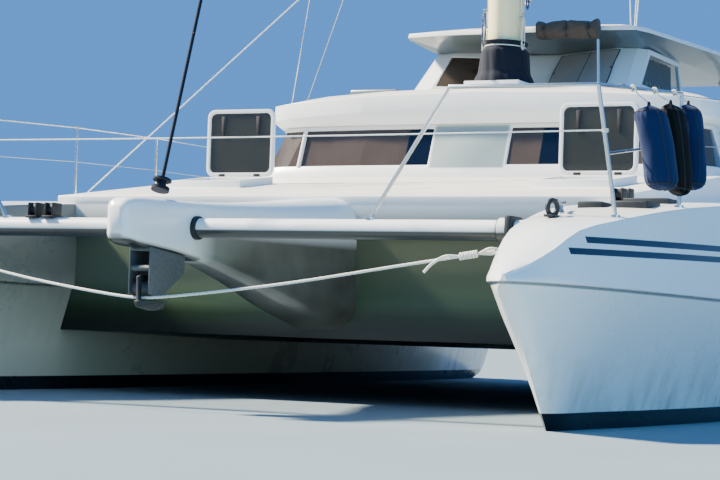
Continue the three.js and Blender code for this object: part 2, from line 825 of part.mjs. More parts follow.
// The saloon's walls and roof as one mass, let out by the gap.
const cabinEnvelope = join(
  loft([
    ringAt(cabinOutline(-GAP, 0), CABIN_FOOT_Z - 60),
    ringAt(cabinOutline(-GAP, CABIN_RAKE), CABIN_TOP_Z),
  ]),
  loft([
    roofBase(40 + GAP, CABIN_TOP_Z - 10),
    roofRing(90 + GAP, CABIN_TOP_Z + 45),
    roofRing(80 + GAP, CABIN_TOP_Z + ROOF_THICK + GAP),
    roofRing(-160 + GAP, ROOF_TOP_Z + GAP),
  ]),
);
add(
  "doghouse_frame",
  cut(
    dogOuter,
    dogInner,
    screenBox(1, 0),
    screenBox(-1, 0),
    dogSideBox(1, 0),
    dogSideBox(-1, 0),
    dogBack,
    cabinEnvelope,
  ),
  WHITE_GEL,
);

const dogGlass = cut(
  loft([ringAt(dogOutline(16, 0), DOG.z0), ringAt(dogOutline(16, 1), DOG.z1)]),
  loft([
    ringAt(dogOutline(26, -0.05), DOG.z0 - 32),
    ringAt(dogOutline(26, 1.05), DOG.z1 + 32),
  ]),
);
for (const [side, sign] of SIDES) {
  add(
    "doghouse_glass_front_" + side,
    dogGlass.intersect(solid(screenBox(sign, GAP))),
    DARK_GLASS,
  );
  add(
    "doghouse_glass_side_" + side,
    dogGlass.intersect(solid(dogSideBox(sign, GAP))),
    DARK_GLASS,
  );
}

// Hard top over the cockpit, with a visor in front and two posts at its after corners
const TOP = { frontX: -850, backX: -4620, half: 1420, lipZ: 3400, edgeZ: 3440, crownZ: 3490 };
const mirrored = (half) => [...half, ...half.map(([x, y]) => [x, -y]).reverse()];
const topOutline = (out) =>
  mirrored([
    [TOP.frontX + out, 700 + out * 0.6],
    [TOP.frontX - 70 + out, 1150 + out],
    [TOP.frontX - 260 + out * 0.5, 1215 + out],
    [-2800, TOP.half + out],
    [TOP.backX + 240 - out * 0.5, TOP.half + out],
    [TOP.backX - out, TOP.half - 170 + out],
  ]);
// The underside is flat over the doghouse and rises from there to the lip.
const topUnderside = mirrored([
  [-1320, 640],
  [-1325, 860],
  [-1385, 1045],
  [-2800, 1150],
  [-4200, 1150],
  [-4420, 1000],
]);
const hardTop = loft([
  ringAt(topUnderside, DOG.z1 + GAP),
  ringAt(topOutline(0), TOP.lipZ),
  ringAt(topOutline(-8), TOP.edgeZ),
  ringAt(topOutline(-220), TOP.crownZ),
]);
const POST_FOOT_Z = SIDE_DECK_Z + 30 + GAP;
const hardTopPost = (sign) => [
  bar([-4250, sign * 1900, POST_FOOT_Z + 22], [-4250, sign * 1000, DOG.z1 + 40], 32, 10),
  box(
    -4310,
    -4190,
    Math.min(sign * 1840, sign * 1960),
    Math.max(sign * 1840, sign * 1960),
    POST_FOOT_Z,
    POST_FOOT_Z + 30,
  ),
];
add("hard_top", join(hardTop, ...hardTopPost(1), ...hardTopPost(-1)), WHITE_GEL);

// Mast with two pairs of swept spreaders and a masthead crane
const ellipse = (cx, cy, a, b, sides) =>
  Array.from({ length: sides }, (_, i) => {
    const angle = (i / sides) * Math.PI * 2;
    return [cx + a * Math.cos(angle), cy + b * Math.sin(angle)];
  });
const SPREADERS = [
  // height, reach, sweep
  { z: 8300, reach: 1000, sweep: 300 },
  { z: 12900, reach: 820, sweep: 240 },
];
const mastTube = slab(
  ellipse(MAST_X, 0, MAST_CHORD / 2, MAST_WIDTH / 2, 20),
  MAST_FOOT_Z + GAP,
  MAST_TOP_Z,
);
const crane = box(MAST_X - 420, MAST_X + 300, -60, 60, MAST_TOP_Z - 60, MAST_TOP_Z + 30);
const goosePlate = box(
  MAST_X - MAST_CHORD / 2 - 60,
  MAST_X - MAST_CHORD / 2 + 30,
  -35,
  35,
  BOOM_Z - 110,
  BOOM_Z - 60,
);
const spreaderBars = SPREADERS.flatMap(({ z, reach, sweep }) =>
  SIDES.map(([, sign]) => bar([MAST_X, 0, z], [MAST_X - sweep, sign * reach, z + 60], 42, 8, 14)),
);
add("mast", join(mastTube, crane, goosePlate, ...spreaderBars), CREAM_SPAR);

// Canvas boot round the mast's foot: a closed skirt, wider at the bottom
const bootRing = (grow, z) =>
  ringAt(ellipse(MAST_X, 0, MAST_CHORD / 2 + grow, MAST_WIDTH / 2 + grow, 20), z);
const bootOuter = loft([
  bootRing(115, MAST_FOOT_Z + GAP),
  bootRing(72, MAST_FOOT_Z + 120),
  bootRing(56, MAST_FOOT_Z + 300),
  bootRing(42, MAST_FOOT_Z + 395),
]);
const BOOT_SLACK = GAP + 0.1;
const bootCore = loft([
  bootRing(BOOT_SLACK, MAST_FOOT_Z - 10),
  bootRing(BOOT_SLACK, MAST_FOOT_Z + 420),
]);
add("mast_boot", cut(bootOuter, bootCore), NAVY_CANVAS);

// Boom with the stowed mainsail in its bag on top
const GOOSE_X = MAST_X - MAST_CHORD / 2 - 45;
const BOOM_RADIUS = 85;
const boomTube = bar([GOOSE_X - 60, 0, BOOM_Z], [GOOSE_X - BOOM_LENGTH, 0, BOOM_Z], BOOM_RADIUS, 16);
const boomTongue = join(
  box(GOOSE_X - 90, GOOSE_X + 22, -30, 30, BOOM_Z - 60 + GAP, BOOM_Z + 40),
  bar([GOOSE_X, 0, BOOM_Z - 40], [GOOSE_X, 0, BOOM_Z - 130], 8, 12),
);
const goosePinBore = bar([GOOSE_X, 0, BOOM_Z - 20], [GOOSE_X, 0, BOOM_Z - 150], 8.6, 12);
add("boom", join(boomTube, boomTongue), CREAM_SPAR);
const mastMesh = group.children.find((m) => m.name === "mast");
mastMesh.geometry = surface(cut(mastMesh.geometry, goosePinBore));

const bagSection = (x, half, height) => {
  const foot = BOOM_Z + BOOM_RADIUS - 22;
  return [
    [-half * 0.55, foot + GAP],
    [-half, foot + height * 0.45],
    [-half * 0.6, foot + height * 0.9],
    [0, foot + height],
    [half * 0.6, foot + height * 0.9],
    [half, foot + height * 0.45],
    [half * 0.55, foot + GAP],
  ].map(([y, z]) => new THREE.Vector3(x, y, z));
};
const sailBag = loft([
  bagSection(GOOSE_X - 140, 170, 560),
  bagSection(GOOSE_X - 1500, 190, 430),
  bagSection(GOOSE_X - 3200, 165, 340),
  bagSection(GOOSE_X - 4500, 110, 230),
]);
add(
  "sail_bag",
  cut(
    sailBag,
    bar(
      [GOOSE_X - 100, 0, BOOM_Z],
      [GOOSE_X - BOOM_LENGTH - 50, 0, BOOM_Z],
      BOOM_RADIUS + 0.6,
      16,
    ),
  ),
  TAUPE_CANVAS,
);

// Standing rigging: the forestay's furling foil and the cap shrouds
const stayLength = stayHead.distanceTo(STAY_FOOT);
const foil = join(
  bar(along(0), along(stayLength - 12), 13, 10),
  bar(along(0), along(26), 62, 16),
  bar(along(26), along(70), 34, 16),
  bar(along(70), along(84), 62, 16),
);
add("furler_foil", foil, NAVY_CANVAS);

const HOUNDS_Z = 16500; // where the cap shrouds meet the mast
for (const [side, sign] of SIDES) {
  const [plateX, plateOff] = CHAINPLATES[0];
  const foot = [plateX, sign * plateOff, PLATE.z1 + GAP];
  const head = [MAST_X - 60, sign * (MAST_WIDTH / 2 + 0.6), HOUNDS_Z];
  const wire = bar(foot, head, 6, 6);
  const low = new THREE.Vector3(...foot);
  const aim = new THREE.Vector3(...head).sub(low).normalize();
  const screwTop = low.clone().addScaledVector(aim, 330).toArray();
  const under = box(plateX - 200, plateX + 200, foot[1] - 60, foot[1] + 60, PLATE.z0, foot[2]);
  add("cap_shroud_" + side, cut(join(wire, bar(foot, screwTop, 13, 8)), under), STAINLESS);
}

// Pulpits
const deckEdge = (x) => {
  const [, , , , , , , hDeck, zDeck] = row(HULL_TABLE, BOW_X - x);
  return { h: hDeck, z: zDeck };
};
const RAIL_RADIUS = 14;
const RAIL_HEIGHT = 790;
const BOW_LEG = { x: 5000, h: 250 }; // h is off the hull's own centreline, outboard
const AFT_LEG = { x: 4180, h: 400, top: 2170 };
const PULPIT_TOP = { h: 170, z: 2120, innerY: 1960, innerZ: 2130, braceY: 1420, poleZ: 2400 };
// Height of the deck at a place h off a hull's own centreline.
function deckZ(x, h) {
  const [, , , , , , , hDeck, zDeck, zMiddle] = row(HULL_TABLE, BOW_X - x);
  const edge = Math.min(40, hDeck * 0.3);
  const t = Math.min(Math.abs(h) / (hDeck - edge), 1);
  return zMiddle + (zDeck + 8 - zMiddle) * t;
}
const between = (a, b, t) => a.map((value, k) => value + t * (b[k] - value));
const footPad = ([x, y, z]) => bar([x, y, z - 25], [x, y, z + 12], 32, 10);
for (const [side, sign] of SIDES) {
  const y = (h) => sign * (HULL_Y + h);
  const foot = [BOW_LEG.x, y(BOW_LEG.h), deckZ(BOW_LEG.x, BOW_LEG.h)];
  const top = [BEAM_X, y(PULPIT_TOP.h), PULPIT_TOP.z];
  const aftFoot = [AFT_LEG.x, y(AFT_LEG.h), deckZ(AFT_LEG.x, AFT_LEG.h)];
  const aftTop = [AFT_LEG.x, y(AFT_LEG.h), AFT_LEG.top];
  const inner = [BEAM_X, sign * PULPIT_TOP.innerY, PULPIT_TOP.innerZ];
  const brace = [BEAM_X, sign * PULPIT_TOP.braceY, BEAM_Z + BEAM_RADIUS];
  const pulpit = join(
    rail([foot, top, inner, brace], RAIL_RADIUS),
    rail([aftFoot, aftTop, top], RAIL_RADIUS),
    bar(top, [BEAM_X, y(PULPIT_TOP.h - 10), PULPIT_TOP.poleZ], 9),
    footPad(foot),
    footPad(aftFoot),
    footPad(brace),
    bar(between(foot, top, 0.48), between(aftFoot, aftTop, 0.56), 9),
  );
  add(
    "pulpit_" + side,
    cut(
      pulpit,
      hullShape(sign * HULL_Y, GAP),
      bar([BEAM_X, sign * 900, BEAM_Z], [BEAM_X, sign * 2000, BEAM_Z], BEAM_RADIUS + 0.5, 20),
    ),
    STAINLESS,
  );
}

// Guard rails: stanchions, wires and the pushpit at the stern, on the outer deck edges
const STANCHION_XS = [2900, 1500, 100, -1500, -3100, -4600];
const INSET = 90;
const PUSHPIT_X = -4950;
const WIRE_RADIUS = 6;
const post = (x) => {
  const h = deckEdge(x).h - INSET;
  return { x, h, z: deckZ(x, h) };
};
for (const [side, sign] of SIDES) {
  const y = (h) => sign * (HULL_Y + h);
  const posts = STANCHION_XS.map(post);
  const tops = posts.map((p) => [p.x, y(p.h), p.z + RAIL_HEIGHT - 80]);
  const start = [AFT_LEG.x - RAIL_RADIUS - 2, y(AFT_LEG.h), AFT_LEG.top - 10];
  const corner = [PUSHPIT_X, y(400), deckZ(PUSHPIT_X, 400) + RAIL_HEIGHT - 80];
  const cornerIn = [PUSHPIT_X, y(-380), corner[2]];
  const cornerFoot = [PUSHPIT_X, y(-380), deckZ(PUSHPIT_X, 380)];
  const wire = (points, radius) => points.slice(1).map((p, k) => bar(points[k], p, radius, 6));
  const parts = [
    ...wire([start, ...tops], WIRE_RADIUS),
    rail([tops[tops.length - 1], corner, cornerIn, cornerFoot], 11),
    footPad(cornerFoot),
  ];
  posts.forEach((p) => {
    parts.push(bar([p.x, y(p.h), p.z], [p.x, y(p.h), p.z + RAIL_HEIGHT - 66], 13));
    parts.push(footPad([p.x, y(p.h), p.z]));
  });
  add(
    "guard_rail_" + side,
    cut(join(...parts), hullShape(sign * HULL_Y, GAP)),
    STAINLESS,
  );
}

// Fenders stowed upright under the pulpit's after rail, on the port side
const FENDERS = [
  // name, x, radius, length, look
  ["fender_blue_forward", 4660, 112, 530, BLUE_RUBBER],
  ["fender_black", 4430, 98, 560, BLACK_RUBBER],
  ["fender_blue_aft", 4235, 88, 520, BLUE_RUBBER],
];
const AFTER_RAIL = [
  [BEAM_X, HULL_Y + PULPIT_TOP.h, PULPIT_TOP.z],
  [AFT_LEG.x, HULL_Y + AFT_LEG.h, AFT_LEG.top],
];
const FENDER_OFF = 52; // between the rail's middle and a fender's side
for (const [name, x, radius, length, look] of FENDERS) {
  const t = (AFTER_RAIL[0][0] - x) / (AFTER_RAIL[0][0] - AFTER_RAIL[1][0]);
  const railY = AFTER_RAIL[0][1] + t * (AFTER_RAIL[1][1] - AFTER_RAIL[0][1]);
  const railZ = AFTER_RAIL[0][2] + t * (AFTER_RAIL[1][2] - AFTER_RAIL[0][2]);
  const bottom = railZ - 110 - length;
  const profile = [
    [0, bottom],
    [radius * 0.35, bottom + 4],
    [radius * 0.8, bottom + 50],
    [radius, bottom + 130],
    [radius, bottom + length - 130],
    [radius * 0.8, bottom + length - 50],
    [22, bottom + length - 6],
    [22, bottom + length + 40],
    [0, bottom + length + 40],
  ].map(([r, h]) => new THREE.Vector2(r, h));
  const body = new THREE.LatheGeometry(profile, 16);
  body.rotateX(Math.PI / 2);
  const y = railY + radius + FENDER_OFF;
  const lanyard = bar([0, 0, bottom + length + 30], [0, railY - y, railZ], 6, 8);
  const shape = place(surface(join(body, lanyard)), x, y, 0);
  add(name, cut(shape, bar(...AFTER_RAIL, RAIL_RADIUS + 2 * GAP)), look);
}

// Hatch lids on the foredeck, standing open
const LID = { thick: 22, length: 586, knuckle: 8, rim: 45, glass: 5 };
for (const [side, sign] of SIDES) {
  const pivotZ = foredeckZ(HATCH.hingeX) + HATCH.coaming + LID.knuckle + GAP;
  const y0 = sign * HATCH.y - HATCH.half;
  const y1 = sign * HATCH.y + HATCH.half;
  const plate = box(HATCH.hingeX - LID.thick, HATCH.hingeX, y0, y1, pivotZ, pivotZ + LID.length);
  const pane = box(
    HATCH.hingeX - LID.thick - LID.glass,
    HATCH.hingeX - 8,
    y0 + LID.rim,
    y1 - LID.rim,
    pivotZ + LID.rim,
    pivotZ + LID.length - LID.rim,
  );
  const knuckle = bar([HATCH.hingeX, y0 + 60, pivotZ], [HATCH.hingeX, y1 - 60, pivotZ], LID.knuckle);
  add("hatch_lid_" + side, join(plate, pane, knuckle), DARK_GLASS);
}

// Sterngear: saildrive legs, propellers and rudders
const DRIVE_X = -3600;
const bladeSections = (y, x, chord, half, z) =>
  foilLoop(
    [
      [0.5, 0],
      [0.42, 0.6],
      [0.2, 1],
      [-0.2, 0.75],
      [-0.5, 0.06],
    ].map(([a, b]) => [a * chord, b * half]),
    1,
    x,
    y,
    z,
  );
const PROP = { x: DRIVE_X - 235, hub: 46, length: 110, radius: 205, shaft: 16 };
for (const [side, sign] of SIDES) {
  const y = sign * HULL_Y;
  const strut = loft([
    bladeSections(y, DRIVE_X, 330, 45, -300),
    bladeSections(y, DRIVE_X - 20, 280, 38, SHAFT_Z + 20),
  ]);
  const pod = new THREE.LatheGeometry(
    [
      [0, -190],
      [44, -190],
      [58, -60],
      [56, 60],
      [34, 150],
      [0, 185],
    ].map(([r, h]) => new THREE.Vector2(r, h)),
    16,
  );
  pod.rotateZ(-Math.PI / 2);
  place(pod, DRIVE_X + 20, y, SHAFT_Z);
  const shaftBore = bar(
    [DRIVE_X - 300, y, SHAFT_Z],
    [DRIVE_X - 90, y, SHAFT_Z],
    PROP.shaft + 0.7,
    16,
  );
  add(
    "saildrive_" + side,
    cut(join(strut, pod), shaftBore, hullShape(y, GAP)),
    DARK_PAINT,
  );

  const hub = new THREE.LatheGeometry(
    [
      [0, 0],
      [PROP.hub, 0],
      [PROP.hub, 70],
      [PROP.hub * 0.6, PROP.length],
      [0, PROP.length + 12],
    ].map(([r, h]) => new THREE.Vector2(r, h)),
    16,
  );
  hub.rotateZ(Math.PI / 2);
  place(hub, DRIVE_X - 176, y, SHAFT_Z);
  const shaft = bar([DRIVE_X - 200, y, SHAFT_Z], [DRIVE_X - 100, y, SHAFT_Z], PROP.shaft, 16);
  const blades = [0, 1, 2].map((k) => {
    const blade = new THREE.BoxGeometry(14, 130, PROP.radius - 30);
    place(blade, 0, 0, (PROP.radius + 30) / 2);
    blade.rotateZ(0.55);
    blade.rotateX((k * 2 * Math.PI) / 3);
    return place(blade, DRIVE_X - 176 - 36, y, SHAFT_Z);
  });
  add("propeller_" + side, join(hub, shaft, ...blades), BRONZE);

  const rudderBlade = loft([
    bladeSections(y, RUDDER_X - 60, 520, 38, -345),
    bladeSections(y, RUDDER_X - 70, 440, 26, -1040),
  ]);
  const stock = bar([RUDDER_X, y, -500], [RUDDER_X, y, STOCK_TOP_Z], RUDDER_STOCK_RADIUS, 24);
  add("rudder_" + side, join(rudderBlade, stock), DARK_PAINT);
}

// Helm: a console on the starboard side of the cockpit's forward end, and its wheel
const HELM = { x: -2420, y: -1150, z: 1850, radius: 330, shaft: 20, bore: 20.7 };
const consoleBody = sidePlate(
  [
    [CABIN_BACK_X - GAP, COCKPIT_SOLE_Z + GAP],
    [CABIN_BACK_X - GAP, 2330],
    [CABIN_BACK_X - 180, 2330],
    [HELM.x + 90, 2120],
    [HELM.x + 90, COCKPIT_SOLE_Z + GAP],
  ],
  HELM.y - 300,
  HELM.y + 300,
);
const atHelm = (dx) => [HELM.x + dx, HELM.y, HELM.z];
const helmBore = bar(atHelm(-50), atHelm(200), HELM.bore, 16);
add("helm_console", cut(consoleBody, helmBore), WHITE_GEL);
const wheelRim = new THREE.TorusGeometry(HELM.radius, 15, 8, 28);
wheelRim.rotateY(Math.PI / 2);
place(wheelRim, ...atHelm(0));
const wheelSpokes = [0, 1, 2, 3, 4].map((k) => {
  const a = (k * 2 * Math.PI) / 5 + Math.PI / 2;
  const rimPoint = [
    HELM.x,
    HELM.y + HELM.radius * Math.cos(a),
    HELM.z + HELM.radius * Math.sin(a),
  ];
  return bar(atHelm(0), rimPoint, 9);
});
const wheelHub = join(
  bar(atHelm(-25), atHelm(60), 48, 16),
  bar(atHelm(0), atHelm(170), HELM.shaft, 16),
);
add("steering_wheel", join(wheelRim, ...wheelSpokes, wheelHub), STAINLESS);

export default group;
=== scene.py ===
import bpy
import json
import math
from mathutils import Vector, Matrix
from mathutils.kdtree import KDTree
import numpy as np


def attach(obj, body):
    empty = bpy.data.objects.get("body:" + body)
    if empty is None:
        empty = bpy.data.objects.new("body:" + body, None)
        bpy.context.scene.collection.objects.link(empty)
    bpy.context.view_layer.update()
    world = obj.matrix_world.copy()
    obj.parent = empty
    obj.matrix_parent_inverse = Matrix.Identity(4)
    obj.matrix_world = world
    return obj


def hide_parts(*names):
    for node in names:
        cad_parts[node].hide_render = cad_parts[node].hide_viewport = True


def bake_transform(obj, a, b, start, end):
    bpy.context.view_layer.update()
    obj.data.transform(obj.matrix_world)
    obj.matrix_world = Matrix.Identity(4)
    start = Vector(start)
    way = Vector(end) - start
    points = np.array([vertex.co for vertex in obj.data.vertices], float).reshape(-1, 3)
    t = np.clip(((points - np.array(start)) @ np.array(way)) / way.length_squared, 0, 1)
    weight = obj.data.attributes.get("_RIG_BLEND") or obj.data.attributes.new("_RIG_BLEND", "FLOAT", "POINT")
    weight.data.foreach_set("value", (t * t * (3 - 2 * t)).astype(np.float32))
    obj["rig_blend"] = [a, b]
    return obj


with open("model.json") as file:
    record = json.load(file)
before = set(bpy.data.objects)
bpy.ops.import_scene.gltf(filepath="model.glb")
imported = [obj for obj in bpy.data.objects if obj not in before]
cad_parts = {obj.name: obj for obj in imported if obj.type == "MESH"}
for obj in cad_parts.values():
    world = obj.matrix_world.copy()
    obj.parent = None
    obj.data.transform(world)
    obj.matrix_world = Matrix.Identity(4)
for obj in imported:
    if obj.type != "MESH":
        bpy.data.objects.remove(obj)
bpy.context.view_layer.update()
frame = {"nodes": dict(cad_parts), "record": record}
print("frame loaded:", len(frame["nodes"]), "nodes")

# Metres. +X is forward, +Y is to port, +Z is up, and the floor lies at the waterline.
boat = dict(
    bowX=6.2, hullLength=12.4, hullY=2.78, frontWallX=3.1, beamX=5.15, beamZ=1.218, beamRadius=0.066,
    cabinFrontX=0.25, roofTopZ=2.70, mastX=-0.6, boomZ=4.56,
)
sides = [("port", 1), ("starboard", -1)]
# how close two points lie to be made one, and how flat two faces to be made one, in degrees
weld = dict(piece=0.0002, node=0.0003, sheet=0.00005, tube=0.00002, flat=0.6)


# Selecting, adding and finishing pieces
def deselectAll():
    if bpy.context.object and bpy.context.object.mode != "OBJECT":
        bpy.ops.object.mode_set(mode="OBJECT")
    bpy.ops.object.select_all(action="DESELECT")


def pick(piece, *others):
    deselectAll()
    for one in (piece, *others):
        one.select_set(True)
    bpy.context.view_layer.objects.active = piece


def applyModifiers(piece):
    pick(piece)
    for each in list(piece.modifiers):
        bpy.ops.object.modifier_apply(modifier=each.name)
    return piece


def editAll(piece, *steps):
    # runs each step in edit mode with everything selected
    pick(piece)
    bpy.ops.object.mode_set(mode="EDIT")
    for step in steps:
        bpy.ops.mesh.select_all(action="SELECT")
        step()
    bpy.ops.object.mode_set(mode="OBJECT")
    return piece


def outward(piece, merge=weld["piece"]):
    return editAll(
        piece,
        lambda: bpy.ops.mesh.remove_doubles(threshold=merge),
        lambda: bpy.ops.mesh.normals_make_consistent(inside=False),
    )


def smooth(piece, angle=35):
    pick(piece)
    bpy.ops.object.shade_smooth_by_angle(angle=math.radians(angle))
    return piece


def modifier(piece, kind, **settings):
    made = piece.modifiers.new(kind.title(), kind)
    for key, value in settings.items():
        setattr(made, key, value)
    return made


def bevelled(piece, width, segments=2, angle=30):
    # rounds the edges that are sharper than the angle
    modifier(
        piece, "BEVEL", width=width, segments=segments, limit_method="ANGLE", angle_limit=math.radians(angle)
    )
    return applyModifiers(piece)


def thicken(piece, thickness, offset=0):
    # gives a sheet its thickness, on both faces or on one
    modifier(piece, "SOLIDIFY", thickness=thickness, offset=offset)
    return applyModifiers(piece)


def applyPlace(piece):
    pick(piece)
    bpy.ops.object.transform_apply(location=True, rotation=True, scale=True)
    return piece


def block(name, low, high, bevel=0.0, segments=2):
    low, high = Vector(low), Vector(high)
    deselectAll()
    bpy.ops.mesh.primitive_cube_add(size=1, location=(low + high) / 2)
    piece = bpy.context.object
    piece.name = name
    piece.scale = [abs(d) for d in high - low]
    applyPlace(piece)
    if bevel:
        editAll(piece, lambda: bpy.ops.mesh.bevel(offset=bevel, segments=segments, affect="EDGES"))
    return smooth(piece, 40)


def rod(name, start, end, radius, sides=16, bevel=0.0):
    start, end = Vector(start), Vector(end)
    deselectAll()
    bpy.ops.mesh.primitive_cylinder_add(vertices=sides, radius=radius, depth=(end - start).length)
    piece = bpy.context.object
    piece.name = name
    piece.rotation_euler = (end - start).to_track_quat("Z", "Y").to_euler()
    piece.location = (start + end) / 2
    applyPlace(piece)
    if bevel:
        bevelled(piece, bevel, 2, 60)
    return smooth(piece, 40)


def ball(name, centre, radius, stretch=(1, 1, 1), rings=10):
    deselectAll()
    bpy.ops.mesh.primitive_uv_sphere_add(segments=2 * rings, ring_count=rings, radius=radius, location=centre)
    piece = bpy.context.object
    piece.name = name
    piece.scale = stretch
    applyPlace(piece)
    return smooth(piece, 80)


def ring(name, centre, along, major, minor, steps=24, sides=8):
    deselectAll()
    bpy.ops.mesh.primitive_torus_add(
        major_radius=major, minor_radius=minor, major_segments=steps, minor_segments=sides, location=centre
    )
    piece = bpy.context.object
    piece.name = name
    piece.rotation_euler = Vector(along).to_track_quat("Z", "Y").to_euler()
    applyPlace(piece)
    return smooth(piece, 80)


def smoothLine(points, steps):
    # a centripetal curve through the points, with that many steps between each two
    points = [Vector(p) for p in points]
    padded = [2 * points[0] - points[1], *points, 2 * points[-1] - points[-2]]
    line = []
    for i in range(1, len(padded) - 2):
        p0, p1, p2, p3 = padded[i - 1 : i + 3]
        t0 = 0.0
        t1 = t0 + max((p1 - p0).length, 1e-6) ** 0.5
        t2 = t1 + max((p2 - p1).length, 1e-6) ** 0.5
        t3 = t2 + max((p3 - p2).length, 1e-6) ** 0.5
        for k in range(steps):
            t = t1 + (t2 - t1) * k / steps
            a1 = (t1 - t) / (t1 - t0) * p0 + (t - t0) / (t1 - t0) * p1
            a2 = (t2 - t) / (t2 - t1) * p1 + (t - t1) / (t2 - t1) * p2
            a3 = (t3 - t) / (t3 - t2) * p2 + (t - t2) / (t3 - t2) * p3
            b1 = (t2 - t) / (t2 - t0) * a1 + (t - t0) / (t2 - t0) * a2
            b2 = (t3 - t) / (t3 - t1) * a2 + (t - t1) / (t3 - t1) * a3
            line.append((t2 - t) / (t2 - t1) * b1 + (t - t1) / (t2 - t1) * b2)
    line.append(points[-1])
    return line


def roundedLine(points, radius, steps=6):
    # straight runs whose corners are arcs
    points = [Vector(p) for p in points]
    line = [points[0]]
    for before, corner, after in zip(points, points[1:], points[2:]):
        back, on = before - corner, after - corner
        reach = min(radius, back.length * 0.45, on.length * 0.45)
        a, b = corner + back.normalized() * reach, corner + on.normalized() * reach
        for k in range(steps + 1):
            t = k / steps
            line.append((1 - t) ** 2 * a + 2 * t * (1 - t) * corner + t * t * b)
    line.append(points[-1])
    return line


def tube(name, points, radius, sides=10, closed=False):
    # a curve through the points, given a round section and made a mesh
    deselectAll()
    bpy.ops.curve.primitive_bezier_curve_add()
    piece = bpy.context.object
    piece.name = name
    piece.data.splines.clear()
    spline = piece.data.splines.new("POLY")
    spline.points.add(len(points) - 1)
    for point, place in zip(spline.points, points):
        point.co = (*place, 1)
    spline.use_cyclic_u = closed
    piece.data.dimensions = "3D"
    piece.data.bevel_depth = radius
    piece.data.bevel_resolution = max((sides - 4) // 2, 0)
    piece.data.use_fill_caps = not closed
    piece.data.twist_mode = "MINIMUM"
    bpy.ops.object.convert(target="MESH")
    outward(piece, weld["tube"])
    return smooth(piece, 60)


def wrapSheet(name, acrossU, acrossV, place, close=True, fillEnds=True):
    # a grid whose points are laid on a surface: place(u, v) with u and v from 0 to 1
    deselectAll()
    bpy.ops.mesh.primitive_grid_add(x_subdivisions=acrossU, y_subdivisions=acrossV, size=2)
    piece = bpy.context.object
    piece.name = name
    for vertex in piece.data.vertices:
        u, v = (vertex.co.x + 1) / 2, (vertex.co.y + 1) / 2
        vertex.co = place(round(u * acrossU), round(v * acrossV))
    pick(piece)
    bpy.ops.object.mode_set(mode="EDIT")
    bpy.ops.mesh.select_all(action="SELECT")
    if close:
        bpy.ops.mesh.remove_doubles(threshold=weld["sheet"])
    if fillEnds:
        bpy.ops.mesh.select_all(action="DESELECT")
        bpy.ops.mesh.select_non_manifold(
            extend=False, use_wire=False, use_multi_face=False, use_non_contiguous=False, use_verts=False
        )
        bpy.ops.mesh.edge_face_add()
    bpy.ops.mesh.select_all(action="SELECT")
    bpy.ops.mesh.normals_make_consistent(inside=False)
    bpy.ops.object.mode_set(mode="OBJECT")
    return piece


def lathe(name, profile, base, along=(0, 0, 1), steps=24):
    # profile holds (radius, distance along the axis); the first and last radius are 0
    turn = Vector(along).to_track_quat("Z", "Y")

    def place(i, j):
        radius, rise = profile[i]
        angle = 2 * math.pi * j / steps
        return Vector(base) + turn @ Vector((radius * math.cos(angle), radius * math.sin(angle), rise))

    piece = wrapSheet(name, len(profile) - 1, steps, place, fillEnds=False)
    return smooth(outward(piece), 40)


def joined(name, parts):
    pick(*parts)
    if len(parts) > 1:
        bpy.ops.object.join()
    piece = bpy.context.object
    piece.name = name
    return piece


def cutAway(piece, *cutters):
    for cutter in cutters:
        modifier(piece, "BOOLEAN", operation="DIFFERENCE", object=cutter, solver="EXACT")
    applyModifiers(piece)
    for cutter in cutters:
        bpy.data.objects.remove(cutter)
    return piece


def copyNode(node):
    # a merged copy of a CAD node's shape, to be finished and shown in its place
    mesh = frame["nodes"][node].data.copy()
    piece = bpy.data.objects.new(node + "_skin", mesh)
    bpy.context.scene.collection.objects.link(piece)
    piece.data.materials.clear()
    for name in [a.name for a in mesh.attributes if a.name.startswith(("custom_normal", "sharp_"))]:
        mesh.attributes.remove(mesh.attributes[name])
    editAll(piece, lambda: bpy.ops.mesh.remove_doubles(threshold=weld["node"]))
    return piece


bodyOf = {node: body for body, nodes in frame["record"]["behaviour"]["bodies"].items() for node in nodes}
slotOf = {part["node"]: part["material_slot"] for part in frame["record"]["subparts"]}


# The slot of each finish
slotFor = dict(
    hull="gelcoat_white", pod="gelcoat_white", white="gelcoat_white", lid="acrylic_smoke",
    smoke="acrylic_smoke", steel="stainless", wire="stainless", alloy="stainless", navy="canvas_navy",
    taupe="canvas_taupe", cushion="canvas_taupe", cream="canvas_taupe", brown="canvas_taupe",
    grey="canvas_taupe", teak="canvas_taupe", blue="vinyl_blue", black="rubber_black",
    blackSoft="rubber_black", rope="net_grey", blueRope="net_grey", net="net_grey", galvanised="galvanised",
    dark="galvanised",
)


def settle(piece, look, body="boat", replaces=(), slot=""):
    # gives a finished piece its look, and lets it ride its body
    piece.data.materials.clear()
    piece.data.materials.append(finish[look])
    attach(piece, body)
    slot or slotFor[look]
    if replaces:
        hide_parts(*replaces)
    return piece


def fit(name, parts, look, body="boat", replaces=(), slot=""):
    # joins parts into one piece and settles it
    return settle(joined(name, parts), look, body, replaces, slot)


def reskin(node, look, angle, bevel, segments):
    # the node's own shape, with moulded edges and smooth faces
    piece = copyNode(node)
    if bevel:
        editAll(piece, lambda: bpy.ops.mesh.dissolve_limited(angle_limit=math.radians(weld["flat"])))
        bevelled(piece, bevel, segments, 25)
    smooth(piece, angle)
    return settle(piece, look, bodyOf[node], [node], slotOf[node])


